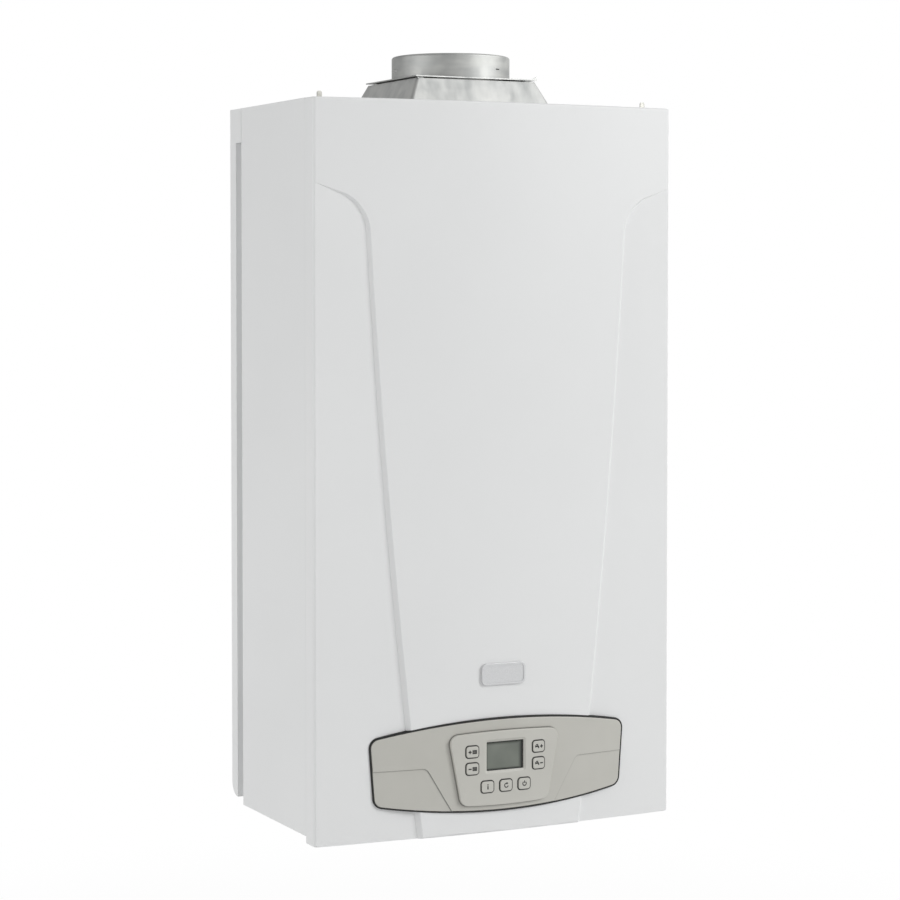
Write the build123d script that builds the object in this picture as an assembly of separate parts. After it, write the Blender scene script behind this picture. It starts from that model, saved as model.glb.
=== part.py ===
from build123d import *
import math
import os

# Wall-hung, open-flued gas boiler, in millimetres. X is across, -Y is away from the wall and Z is up.
# The origin lies on the wall, midway between the two hanging holes. In the code a depth counts from
# the wall forwards, and a drop counts from the casing's top edge downwards.

# Casing
CASE_W = 400.0
CASE_H = 730.0
CORNER_DEPTH = 220.0
BOW = 13.0
SHEET = 1.2
CORNER_R = 4.0
EDGE_R = 2.0
COVER_SIDE_L = 20.0
SEAM_GAP = 0.4
LIP = 18.0
COVER_LIP_H = 12.0

# Back frame
FRAME_T = 1.5
FRAME_DROP = 717.0
FRAME_CORNER_R = 15.0
RIM_DEPTH = 16.0
GROOVE_W = 15.0
GROOVE_SINK = 8.0
LAP = 14.0
EAR_H = 35.0
HANG_DROP = 40.0
HANG_PITCH = 300.0
HANG_R = 5.0

# Side panels and top panel
SIDE_DROP = 722.5
FLANGE = 18.0
SCREW_DROPS = (70.0, 360.0, 650.0)
SCREW_R = 1.9
SCREW_HEAD_R = 4.0
SCREW_HEAD_H = 2.5
LUG_X = 182.0
LUG_SETBACK = 5.0
LUG_W = 5.0
LUG_T = 1.5
LUG_H = 7.5
LUG_FOOT = 9.0
LUG_CORNER_R = 2.0

# Studs that hold the cover
STUD_DROPS = (60.0, 340.0, 620.0)
STUD_R = 2.0
STUD_BALL_R = 4.0
STUD_L = 7.5
STUD_CLEAR = 0.3
CLIP_WALL = 2.0
CLIP_L = 5.0

# Relief pressed in the cover
RECESS_SLOPE = 0.053
STEP_ANGLE = 41.0
STEP_DEPTH = 227.0
RELIEF_RUN_IN = (240.0, 57.5)
RELIEF_BEND_START = (166.0, 90.5)
RELIEF_BEND_MID = (150.5, 104.0)
RELIEF_BEND_END = (141.3, 127.0)
RELIEF_SIDE_MID = (120.9, 425.0)
RELIEF_SIDE_END = (86.8, 760.0)

# Facia, set into the cover
FACIA_TOP_W = 283.8
FACIA_BOTTOM_W = 274.0
FACIA_TOP_DROP = 616.0
FACIA_TOP_SAG = 13.9
FACIA_BOTTOM_DROP = 706.8
FACIA_BOTTOM_SAG = 12.5
FACIA_CORNER_R = 9.0
FACIA_PROUD = 3.0
FACIA_BOW = 11.0
FACIA_WALL = 2.5
FACIA_EDGE_R = 1.2
FACIA_GAP = 1.8
WING_DROP = 660.0
WING_X = 84.0
WING_FOOT_X = 56.0
WING_CORNER_R = 8.0
WING_SINK = 0.8

# Keypad plate, display and buttons
KEYPAD_TOP_W = 124.0
KEYPAD_BOTTOM_W = 97.0
KEYPAD_TOP_DROP = 627.0
KEYPAD_TOP_SAG = 2.2
KEYPAD_BOTTOM_DROP = 701.5
KEYPAD_BOTTOM_SAG = 1.6
KEYPAD_CORNER_R = 9.0
KEYPAD_PROUD = 3.5
KEYPAD_WALL = 2.0
KEYPAD_FACE = 3.3
KEYPAD_EDGE_R = 1.0
KEYPAD_GAP = 0.3
KEYPAD_RIM = 2.0
DISPLAY_W = 41.5
DISPLAY_H = 29.0
DISPLAY_DROP = 652.3
DISPLAY_BEVEL = 2.8
DISPLAY_BEVEL_DEPTH = 1.6
DISPLAY_CORNER_R = 1.0
DISPLAY_MOUTH_R = 3.0
WINDOW_LAP = 1.5
WINDOW_T = 1.5
BUTTON_W = 13.0
BUTTON_H = 11.0
BUTTON_CORNER_R = 2.6
BUTTON_EDGE_R = 0.7
BUTTON_PROUD = 1.3
BUTTON_GAP = 0.5
BUTTON_TRAVEL = 1.0
BUTTON_FLANGE = 1.3
BUTTON_FLANGE_T = 1.6
BUTTON_SEAT_GAP = 0.1
SIDE_BUTTON_X = 37.2
SIDE_BUTTON_DROPS = (646.0, 663.0)
ROW_BUTTON_DROP = 682.2
ROW_BUTTON_PITCH = 20.6
STEM_R = 2.5
STEM_CLEAR = 0.5
SWITCH_GAP = 0.3
SWITCH_H = 1.6
MAT_T = 1.5

# Badge plate
BADGE_W = 49.0
BADGE_H = 22.0
BADGE_DROP = 570.7
BADGE_CORNER_R = 5.5
BADGE_PROUD = 2.3
BADGE_RIM = 2.2
BADGE_SINK = 0.6
BADGE_EDGE_R = 0.6

# Control box
BOX_W = 296.0
BOX_TOP_DROP = 614.0
BOX_BOTTOM_DROP = 706.0
BOX_REAR = 154.0
BOX_FRONT = 206.0
BOX_WALL = 2.5
LID_T = 2.5
LID_RIM = 4.0
GLAND_R = 8.0
GLAND_BORE_R = 4.0
GLAND_X = 120.0
BOARD_T = 1.6
MAIN_BOARD_DEPTH = 166.0
MAIN_BOARD_W = 250.0
MAIN_BOARD_H = 74.0
FACE_BOARD_W = 96.0
FACE_BOARD_H = 60.0
FACE_BOARD_DROP = 664.0
POST_R = 3.0
KEYPAD_STANDOFF = 16.0
FACE_BOARD_STANDOFF = 10.0
RELAY_COUNT = 5
RELAY_PITCH = 22.0
RELAY_X = -20.0
RELAY_W = 16.0
RELAY_H = 19.0
RELAY_T = 16.0
RELAY_LIFT = 14.0
TRANSFORMER_X = 79.0
TRANSFORMER_W = 42.0
TRANSFORMER_H = 36.0
TRANSFORMER_T = 30.0
TRANSFORMER_LIFT = 20.0
CAPACITOR_COUNT = 4
CAPACITOR_PITCH = 20.0
CAPACITOR_R = 6.0
CAPACITOR_L = 18.0
CAPACITOR_LIFT = 52.0
HINGE_DEPTH = 192.0
HINGE_DROP = 699.0
HINGE_PIN_R = 3.0
HINGE_CLEAR = 0.05
HINGE_SIDE_GAP = 1.5

# Draught hood and flue collar
FLUE_DEPTH = 113.5
FLUE_R = 61.0
FLUE_H = 24.3
FLUE_WALL = 1.2
FLUE_STOP = 4.0
FLUE_SLOT_W = 6.0
FLUE_SLOT_H = 1.5
FLUE_SLOT_RISE = 9.5
FLUE_SLOT_ANGLE = 26.0
FLUE_SLOTS = 3
PLATE_MARGIN_X = 7.3
PLATE_MARGIN_Y = 0.5
PLATE_T = 1.2
PLATE_RISE = 28.5
PLATE_GAP = 1.5
PLATE_OVERHANG = 1.0
PLATE_TAB_W = 6.0
PLATE_TAB_H = 3.0
HOOD_T = 1.0
HOOD_CORNER_R = 3.0
HOOD_TOP_W = 159.0
HOOD_TOP_L = 144.0
HOOD_DROP = 105.0
HOOD_SLOT_GAP = 1.5
HOOD_LEG_X = 70.0
HOOD_LEG_W = 20.0
HOOD_LEG_LAP = 15.0
DIMPLE_R = 4.0
THERMOSTAT_R = 8.5
THERMOSTAT_H = 8.0
SPADE_W = 6.0
SPADE_T = 0.8

# Combustion chamber and burner
CHAMBER_W = 252.0
CHAMBER_REAR = 57.0
CHAMBER_L = 132.0
CHAMBER_DROP = 200.0
CHAMBER_H = 205.0
CHAMBER_LEDGE = 15.0
CHAMBER_ARM_DROP = 300.0
CHAMBER_ARM_H = 45.0
INSULATION_T = 10.0
INSULATION_H = 155.0
BAR_COUNT = 12
BAR_PITCH = 17.0
BAR_W = 10.0
BAR_H = 26.0
BAR_L = 97.0
BAR_RAIL = 16.0
BAR_RAIL_LIFT = 6.0
BAR_SETBACK = 9.0
MANIFOLD_W = 12.0
MANIFOLD_H = 14.0
NOZZLE_R = 3.0
NOZZLE_L = 5.0
NOZZLE_BORE_R = 0.7
ELECTRODE_XS = (-42.0, -25.0, 42.0)
ELECTRODE_R = 3.5
ELECTRODE_TIP_R = 1.0
ELECTRODE_L = 28.0
ELECTRODE_LIFT = 9.0

# Main heat exchanger
FIN_COUNT = 36
FIN_PITCH = 6.0
FIN_T = 0.8
FIN_H = 68.0
FIN_L = 116.0
FRAME_PLATE_T = 1.5
TUBE_R = 8.0
TUBE_PITCH = 22.0
TUBE_PASSES = 5
TUBE_OVERRUN = 14.0
TUBE_BEND_SLACK = 0.01
TUBE_RISE = 34.0
PIPE_WALL = 1.0
PIPE_R = 8.0
PIPE_BEND = 14.0
RISER_X = 158.0

# Expansion vessel
VESSEL_W = 320.0
VESSEL_H = 370.0
VESSEL_T = 50.0
VESSEL_DROP = 125.0
VESSEL_R = 18.0
VESSEL_SEAM_T = 2.0
VESSEL_SEAM_OUT = 3.0
VESSEL_PORT_X = 120.0
HOSE_R = 5.0
HOSE_BEND = 12.0

# Bottom rail and connections
RAIL_DROP = 706.0
RAIL_T = 2.0
RAIL_L = 120.0
RAIL_FLANGE = 30.0
TAIL_DEPTH = 60.0
TAIL_PITCH = 65.0
TAIL_END_DROP = 745.0
TAIL_TOP_DROP = 690.0
TAIL_WATER_R = 13.2
TAIL_SMALL_R = 10.5
TAIL_WALL = 2.5
TAIL_NUT_H = 6.0
TAIL_NUT_WIDER = 5.0
TAIL_CLEAR = 0.3

# Hydraulic blocks
BLOCK_W = 100.0
BLOCK_REAR = 40.0
BLOCK_L = 45.0
BLOCK_H = 50.0
BLOCK_R = 4.0
DIVERTER_R = 19.0
DIVERTER_BORE_R = 13.5
DIVERTER_DROP = 600.0
DIVERTER_HEAD_W = 46.0
DIVERTER_HEAD_H = 46.0
DIVERTER_SEAT_R = 12.5
DIVERTER_SEAT_T = 4.0
DIVERTER_TRAVEL = 7.0
DIVERTER_SEAT_LIFT = 14.0
DIVERTER_STEM_R = 3.0
STEM_RUN_CLEAR = 0.05
DIVERTER_INLET_DROP = 620.0
TURBINE_R = 7.5
TURBINE_H = 10.0
TURBINE_HUB_R = 2.6
TURBINE_VANE_T = 1.2
TURBINE_VANES = 4
TURBINE_AXLE_R = 1.0
TURBINE_AXLE_L = 3.0
TURBINE_CLEAR = 1.0
TURBINE_RISE = 22.0
SAFETY_R = 12.0
SAFETY_L = 22.0
SAFETY_OUTLET_L = 21.6
SAFETY_KNOB_R = 15.0
SAFETY_KNOB_L = 16.0
KNOB_SPINDLE_R = 3.0
KNOB_SPINDLE_L = 8.0
KNOB_GAP = 0.4
KNOB_FLUTES = 8
KNOB_FLUTE_R = 2.2
FILLING_KNOB_R = 10.0
FILLING_KNOB_L = 20.0
FILLING_X = 97.5

# Plate heat exchanger
PLATE_HX_W = 190.0
PLATE_HX_H = 72.0
PLATE_HX_REAR = 6.0
PLATE_HX_PLATES = 11
PLATE_HX_EDGE = 1.2

# Pump
PUMP_X = 105.0
PUMP_DROP = 590.0
PUMP_DEPTH = 62.0
VOLUTE_R = 40.0
VOLUTE_L = 38.0
VOLUTE_WALL = 6.0
VOLUTE_R_EDGE = 5.0
MOTOR_R = 36.0
MOTOR_L = 58.0
MOTOR_WALL = 3.0
MOTOR_BOX_W = 58.0
MOTOR_BOX_H = 26.0
IMPELLER_R = 29.0
IMPELLER_T = 8.0
IMPELLER_EYE_R = 7.0
IMPELLER_VANES = 6
ROTOR_R = 20.0
ROTOR_L = 34.0
SHAFT_R = 5.0
SHAFT_CLEAR = 0.05
BEARING_T = 5.0
PORT_R = 11.0
PORT_X = 18.0
PORT_DROP = 545.0
VENT_X = -28.0
VENT_R = 10.0
VENT_H = 36.0

# Gas valve
VALVE_W = 60.0
VALVE_REAR = 70.0
VALVE_L = 60.0
VALVE_H = 55.0
VALVE_DROP = 545.0
VALVE_R = 4.0
VALVE_IN_DEPTH = 90.0
VALVE_OUT_DEPTH = 110.0
COIL_R = 12.0
COIL_L = 20.0
COIL_X = 15.0
GAS_PIPE_R = 8.0
OFFSET_START = 0.35
OFFSET_END = 0.65

TOP = HANG_DROP
HALF_W = CASE_W / 2
FRONT = Plane(origin=(0, 0, 0), x_dir=(1, 0, 0), z_dir=(0, -1, 0))
COVER_DEPTH = CORNER_DEPTH + BOW
PLATE_W = 2 * (FLUE_R + PLATE_MARGIN_X)
PLATE_L = 2 * (FLUE_R + PLATE_MARGIN_Y)
SEAM_DEPTH = CORNER_DEPTH - COVER_SIDE_L
LUG_DEPTH = SEAM_DEPTH - LUG_SETBACK
COVER_R = (HALF_W**2 + BOW**2) / (2 * BOW)
FACIA_DEPTH = COVER_DEPTH + FACIA_PROUD
FACIA_R = ((FACIA_TOP_W / 2) ** 2 + FACIA_BOW**2) / (2 * FACIA_BOW)
KEYPAD_DEPTH = FACIA_DEPTH + KEYPAD_PROUD
KEYPAD_INNER = KEYPAD_DEPTH - KEYPAD_FACE
FLANGE_DEPTH = BOX_FRONT + KEYPAD_STANDOFF
FACE_BOARD_DEPTH = BOX_FRONT + FACE_BOARD_STANDOFF
GROOVE_X = HALF_W - GROOVE_SINK
GROOVE_END = RIM_DEPTH + GROOVE_W
CHAMBER_FRONT = CHAMBER_REAR + CHAMBER_L
CHAMBER_MID = (CHAMBER_REAR + CHAMBER_FRONT) / 2
CHAMBER_BOTTOM_DROP = CHAMBER_DROP + CHAMBER_H
BAR_DROP = CHAMBER_BOTTOM_DROP - BAR_RAIL_LIFT - SHEET - BAR_H
BAR_REAR = CHAMBER_REAR + BAR_SETBACK
TUBE_DROP = CHAMBER_DROP - TUBE_RISE
TUBE_REAR = CHAMBER_MID - TUBE_PITCH * (TUBE_PASSES - 1) / 2
TUBE_FRONT = CHAMBER_MID + TUBE_PITCH * (TUBE_PASSES - 1) / 2
FIN_HALF = (FIN_COUNT - 1) * FIN_PITCH / 2
TUBE_HALF = FIN_HALF + FIN_T / 2 + FRAME_PLATE_T + TUBE_OVERRUN
TAIL_XS = [(index - 2) * TAIL_PITCH for index in range(5)]
TAIL_RS = [TAIL_WATER_R, TAIL_SMALL_R, TAIL_WATER_R, TAIL_SMALL_R, TAIL_WATER_R]
BLOCK_MID_X = 1.5 * TAIL_PITCH
BLOCK_TOP_DROP = TAIL_TOP_DROP - BLOCK_H
BLOCK_FRONT = BLOCK_REAR + BLOCK_L
HINGE_ARM_X = BOX_W / 2 + HINGE_SIDE_GAP


def at(x, depth, z):
    """A point, from its depth in front of the wall."""
    return Vector(x, -depth, z)


def below(drop):
    """The height that lies a drop below the casing's top edge."""
    return TOP - drop


def block(x, depth, z):
    """A box between two limits each way."""
    middle = at(sum(x) / 2, sum(depth) / 2, sum(z) / 2)
    return Pos(middle) * Box(abs(x[1] - x[0]), abs(depth[1] - depth[0]), abs(z[1] - z[0]))


def rod(start, end, radius):
    """A round bar between two points."""
    run = end - start
    return extrude(Plane(origin=start, z_dir=run) * Circle(radius), run.length)


def prism(face, rear, front):
    """A face drawn in the front view, run forwards between two depths."""
    return extrude(FRONT.offset(rear) * face, front - rear)


def behind(radius, depth):
    """All that lies behind an upright bowed surface whose middle is at a depth."""
    return Pos(0, radius - depth, below(CASE_H / 2)) * Cylinder(radius, 2 * CASE_H)


def mirrored(shape):
    """The same piece on the other side of the middle plane."""
    return mirror(shape, Plane.YZ)


def both(shape):
    """A piece and its mirror image, in one."""
    return shape + mirrored(shape)


def pipe(points, radius, bend, wall=PIPE_WALL):
    """A bent tube along straight runs and arcs."""
    path = FilletPolyline(*[at(*point) for point in points], radius=bend)
    start = Plane(origin=path @ 0, z_dir=path % 0)
    return sweep(start * (Circle(radius) - Circle(radius - wall)), path=path)


def fluted_knob(radius, length):
    """A knob with flutes round its edge, standing on XY."""
    knob = Cylinder(radius, length, align=(Align.CENTER, Align.CENTER, Align.MIN))
    knob = fillet(knob.edges().group_by(Axis.Z)[-1], radius / 8)
    for flute in PolarLocations(radius + KNOB_FLUTE_R / 2, KNOB_FLUTES):
        knob -= flute * Cylinder(KNOB_FLUTE_R, 3 * length)
    return knob


# Casing pieces
def back_frame():
    plate = block((-HALF_W, HALF_W), (0, FRAME_T), (below(FRAME_DROP) + FRAME_CORNER_R, TOP))
    top = block((-HALF_W, HALF_W), (0, RIM_DEPTH), (TOP - FRAME_T, TOP))
    height = (below(FRAME_DROP), TOP)
    rim = block((HALF_W - FRAME_T, HALF_W), (0, RIM_DEPTH), height)
    corner = rim.edges().filter_by(Axis.X).group_by(Axis.Z)[0].sort_by(Axis.Y)[-1]
    side = fillet(corner, FRAME_CORNER_R)
    inner = GROOVE_X - FRAME_T
    side += block((inner, HALF_W), (RIM_DEPTH - FRAME_T, RIM_DEPTH), height)
    side += block((inner, GROOVE_X), (RIM_DEPTH - FRAME_T, GROOVE_END + LAP), height)
    ear = block((inner, HALF_W), (RIM_DEPTH - FRAME_T, GROOVE_END - SEAM_GAP), (TOP - EAR_H, TOP))
    side += ear
    ear_z = (TOP - EAR_H + FRAME_T, TOP - FRAME_T)
    side -= block((GROOVE_X, HALF_W - FRAME_T), (RIM_DEPTH, CASE_W), ear_z)
    side -= block((inner, HALF_W), (GROOVE_END - SEAM_GAP, CASE_W), (TOP - SHEET, TOP))
    for screw in SCREW_DROPS:
        start = at(inner - FRAME_T, GROOVE_END + LAP / 2, below(screw))
        side -= rod(start, start + Vector(2 * GROOVE_SINK, 0, 0), SCREW_R + HINGE_CLEAR)
    frame = plate + top + both(side)
    for x in (-HANG_PITCH / 2, HANG_PITCH / 2):
        frame -= rod(at(x, -FRAME_T, 0), at(x, 2 * FRAME_T, 0), HANG_R)
    return frame


def side_panel():
    front = SEAM_DEPTH - SEAM_GAP
    height = (below(SIDE_DROP), TOP - SHEET)
    panel = block((HALF_W - SHEET, HALF_W), (GROOVE_END, front), height)
    panel += block((GROOVE_X, HALF_W), (GROOVE_END, GROOVE_END + SHEET), height)
    panel += block((GROOVE_X, GROOVE_X + SHEET), (GROOVE_END, GROOVE_END + LAP), height)
    panel += block((HALF_W - FLANGE, HALF_W), (front - SHEET, front), height)
    start = GROOVE_END + LAP + SEAM_GAP
    for low in (TOP - 2 * SHEET, below(SIDE_DROP)):
        panel += block((HALF_W - FLANGE, HALF_W), (start, front), (low, low + SHEET))
    for screw in SCREW_DROPS:
        start = at(GROOVE_X - SHEET, GROOVE_END + LAP / 2, below(screw))
        panel -= rod(start, start + Vector(3 * SHEET, 0, 0), SCREW_R + HINGE_CLEAR)
    for stud in STUD_DROPS:
        middle = at(HALF_W - FLANGE / 2, front, below(stud))
        end = middle + Vector(0, 2 * SHEET, 0)
        panel -= rod(middle - Vector(0, SHEET, 0), end, STUD_BALL_R + STUD_CLEAR)
    outer = panel.edges().filter_by(Axis.Z).group_by(Axis.X)[-1]
    return fillet(outer, SHEET / 2)


def panel_screws():
    screws = []
    seat = GROOVE_X - FRAME_T
    for side in (-1, 1):
        for drop in SCREW_DROPS:
            middle = at(side * seat, GROOVE_END + LAP / 2, below(drop))
            out = Vector(side, 0, 0)
            shank = rod(middle, middle + out * (FRAME_T + SHEET + SCREW_HEAD_H), SCREW_R)
            screws.append(shank + rod(middle - out * SCREW_HEAD_H, middle, SCREW_HEAD_R))
    return Compound(children=screws)


def top_panel():
    level = (TOP - SHEET, TOP)
    front = SEAM_DEPTH - SEAM_GAP
    panel = block((-HALF_W, HALF_W), (GROOVE_END, front), level)
    tongue = GROOVE_X - FRAME_T - SEAM_GAP
    panel += block((-tongue, tongue), (RIM_DEPTH + SEAM_GAP, GROOVE_END), level)
    half = HOOD_TOP_W / 2 + HOOD_SLOT_GAP
    reach = HOOD_TOP_L / 2 + HOOD_SLOT_GAP
    panel -= block((-half, half), (FLUE_DEPTH - reach, FLUE_DEPTH + reach), level)
    return panel


def cover_lugs():
    foot_x = (LUG_X - LUG_FOOT / 2, LUG_X + LUG_FOOT / 2)
    foot = block(foot_x, (LUG_DEPTH - LUG_FOOT, LUG_DEPTH), (TOP, TOP + SHEET))
    post_x = (LUG_X - LUG_W / 2, LUG_X + LUG_W / 2)
    post = block(post_x, (LUG_DEPTH - LUG_T, LUG_DEPTH), (TOP, TOP + LUG_H))
    post = fillet(post.edges().filter_by(Axis.Y).group_by(Axis.Z)[-1], LUG_CORNER_R)
    lug = foot + post
    return Compound(children=[lug, mirrored(lug)])


# Front cover and what is fixed on it
def relief_face(grow):
    """The front view of the sunken zone on the right, with its step moved outwards from that zone."""
    places = (RELIEF_RUN_IN, RELIEF_BEND_START, RELIEF_BEND_MID,
              RELIEF_BEND_END, RELIEF_SIDE_MID, RELIEF_SIDE_END)
    start, turn, bend, end, side, foot = [Vector(x, below(drop)) for x, drop in places]
    bend_middle = ThreePointArc(turn, bend, end).arc_center
    side_middle = ThreePointArc(end, side, foot).arc_center
    slant = (turn - start).rotate(Axis.Z, -90).normalized() * grow
    bend_points = [point + (point - bend_middle).normalized() * grow for point in (turn, bend, end)]
    side_points = [point + (side_middle - point).normalized() * grow for point in (side, foot)]
    top = start + slant
    low = Vector(top.X, side_points[1].Y)
    edges = [
        Line(top, bend_points[0]),
        ThreePointArc(*bend_points),
        ThreePointArc(bend_points[2], *side_points),
        Line(side_points[1], low),
        Line(low, top),
    ]
    return make_face(edges)


def relief(shift):
    """The two sunken zones as solids to be cut away, moved back by the sheet's thickness inside."""
    levels = (CORNER_DEPTH - FACIA_PROUD, COVER_DEPTH + FACIA_PROUD)
    slope = math.tan(math.radians(STEP_ANGLE))
    ends = [FRONT.offset(level) * relief_face((level - STEP_DEPTH) * slope) for level in levels]
    cut = loft(ends, ruled=True)
    inner = HALF_W / 4
    outer = HALF_W + LIP
    floor = Polyline(
        (inner, -(CORNER_DEPTH + (HALF_W - inner) * RECESS_SLOPE)),
        (outer, -(CORNER_DEPTH + (HALF_W - outer) * RECESS_SLOPE)),
        (outer, -2 * CORNER_DEPTH),
        (inner, -2 * CORNER_DEPTH),
        close=True,
    )
    zone = extrude(Pos(0, 0, below(1.5 * CASE_H)) * make_face(floor), 2 * CASE_H)
    return Pos(0, shift, 0) * both(cut & zone)


def lens(top_w, bottom_w, top_drop, top_sag, bottom_drop, bottom_sag, corner_r):
    """A plate outline with bowed top and bottom edges and rounded corners."""
    left = Vector(-top_w / 2, below(top_drop + top_sag))
    right = Vector(top_w / 2, left.Y)
    low_right = Vector(bottom_w / 2, below(bottom_drop - bottom_sag))
    low_left = Vector(-bottom_w / 2, low_right.Y)
    edges = [
        ThreePointArc(left, (0, below(top_drop)), right),
        Line(right, low_right),
        ThreePointArc(low_right, (0, below(bottom_drop)), low_left),
        Line(low_left, left),
    ]
    face = make_face(edges)
    return fillet(face.vertices(), corner_r)


def facia_outline():
    return lens(FACIA_TOP_W, FACIA_BOTTOM_W, FACIA_TOP_DROP, FACIA_TOP_SAG,
                FACIA_BOTTOM_DROP, FACIA_BOTTOM_SAG, FACIA_CORNER_R)


def keypad_outline():
    return lens(KEYPAD_TOP_W, KEYPAD_BOTTOM_W, KEYPAD_TOP_DROP, KEYPAD_TOP_SAG,
                KEYPAD_BOTTOM_DROP, KEYPAD_BOTTOM_SAG, KEYPAD_CORNER_R)


def front_cover():
    height = (below(CASE_H), TOP)
    outer = block((-HALF_W, HALF_W), (SEAM_DEPTH, COVER_DEPTH + BOW), height) & behind(COVER_R, COVER_DEPTH)
    front = outer.faces().sort_by(Axis.Y)[0]
    corners = front.edges().filter_by(Axis.Z)
    outer = fillet(corners, CORNER_R)
    rims = outer.edges().filter_by(GeomType.CIRCLE).filter_by(lambda edge: edge.length > HALF_W)
    outer = fillet(rims, EDGE_R)
    half = HALF_W - SHEET
    inner_z = (height[0] + SHEET, TOP - SHEET)
    inner = block((-half, half), (SEAM_DEPTH + SHEET, COVER_DEPTH + BOW), inner_z)
    inner &= behind(COVER_R, COVER_DEPTH - SHEET)
    inner = fillet(inner.faces().sort_by(Axis.Y)[0].edges().filter_by(Axis.Z), CORNER_R - SHEET)
    cover = (outer - relief(0)) - (inner - relief(SHEET))
    mouth_z = (height[0] + COVER_LIP_H, TOP - COVER_LIP_H)
    cover -= block((-HALF_W + LIP, HALF_W - LIP), (SEAM_DEPTH - SHEET, SEAM_DEPTH + 2 * SHEET), mouth_z)
    return cover - prism(offset(facia_outline(), FACIA_GAP), SEAM_DEPTH + LIP / 2, 2 * COVER_DEPTH)


def cover_studs():
    studs = []
    for side in (-1, 1):
        for drop in STUD_DROPS:
            root = at(side * (HALF_W - FLANGE / 2), SEAM_DEPTH, below(drop))
            stud = rod(root, root + Vector(0, STUD_L, 0), STUD_R)
            studs.append(stud + Pos(root + Vector(0, STUD_L, 0)) * Sphere(STUD_BALL_R))
    return Compound(children=studs)


def stud_clips():
    clips = []
    bore = STUD_BALL_R + STUD_CLEAR
    for side in (-1, 1):
        for drop in STUD_DROPS:
            seat = at(side * (HALF_W - FLANGE / 2), SEAM_DEPTH - SEAM_GAP - SHEET, below(drop))
            end = seat + Vector(0, STUD_L + CLIP_L, 0)
            clips.append(rod(seat, end, bore + CLIP_WALL) - rod(seat, end, bore))
    return Compound(children=clips)


def badge_plate():
    face = Pos(0, below(BADGE_DROP)) * RectangleRounded(BADGE_W, BADGE_H, BADGE_CORNER_R)
    inside = Pos(0, below(BADGE_DROP)) * RectangleRounded(
        BADGE_W - 2 * BADGE_RIM, BADGE_H - 2 * BADGE_RIM, BADGE_CORNER_R - BADGE_RIM)
    front = COVER_DEPTH + BADGE_PROUD
    plate = prism(face, COVER_DEPTH - BOW, front)
    plate = fillet(plate.faces().sort_by(Axis.Y)[0].edges(), BADGE_EDGE_R)
    return plate - prism(inside, front - BADGE_SINK, front + BADGE_PROUD) - behind(COVER_R, COVER_DEPTH)


# Control panel
def facia():
    outline = facia_outline()
    shell = prism(outline, BOX_FRONT, COVER_DEPTH + BOW) & behind(FACIA_R, FACIA_DEPTH)
    rims = shell.faces().sort_by(Axis.Y)[0].edges()
    shell = fillet(rims, FACIA_EDGE_R)
    wing = Polyline(
        (-CASE_W, below(WING_DROP)),
        (-WING_X, below(WING_DROP)),
        (-WING_FOOT_X, below(FACIA_BOTTOM_DROP)),
        (-WING_FOOT_X, below(CASE_H)),
        (-CASE_W, below(CASE_H)),
        close=True,
    )
    wing = make_face(wing)
    bend = wing.vertices().sort_by_distance((-WING_X, below(WING_DROP)))[0]
    wing = fillet([bend], WING_CORNER_R)
    sink = prism(wing, BOX_FRONT, 2 * COVER_DEPTH) - behind(FACIA_R - WING_SINK, FACIA_DEPTH - WING_SINK)
    shell -= both(sink)
    hollow = prism(offset(outline, -FACIA_WALL), BOX_FRONT, COVER_DEPTH + BOW)
    hollow &= behind(FACIA_R - FACIA_WALL, FACIA_DEPTH - FACIA_WALL)
    rim = offset(keypad_outline(), KEYPAD_GAP + KEYPAD_RIM)
    rim = prism(rim, FLANGE_DEPTH + KEYPAD_WALL, COVER_DEPTH + BOW)
    shell -= hollow - rim
    return shell - prism(offset(keypad_outline(), KEYPAD_GAP), BOX_FRONT, 2 * COVER_DEPTH)


def button_places():
    """Each button's name and middle in the front view."""
    low, high = max(SIDE_BUTTON_DROPS), min(SIDE_BUTTON_DROPS)
    return {
        "button_heating_plus": (-SIDE_BUTTON_X, below(high)),
        "button_heating_minus": (-SIDE_BUTTON_X, below(low)),
        "button_water_plus": (SIDE_BUTTON_X, below(high)),
        "button_water_minus": (SIDE_BUTTON_X, below(low)),
        "button_info": (-ROW_BUTTON_PITCH, below(ROW_BUTTON_DROP)),
        "button_reset": (0.0, below(ROW_BUTTON_DROP)),
        "button_power": (ROW_BUTTON_PITCH, below(ROW_BUTTON_DROP)),
    }


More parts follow.
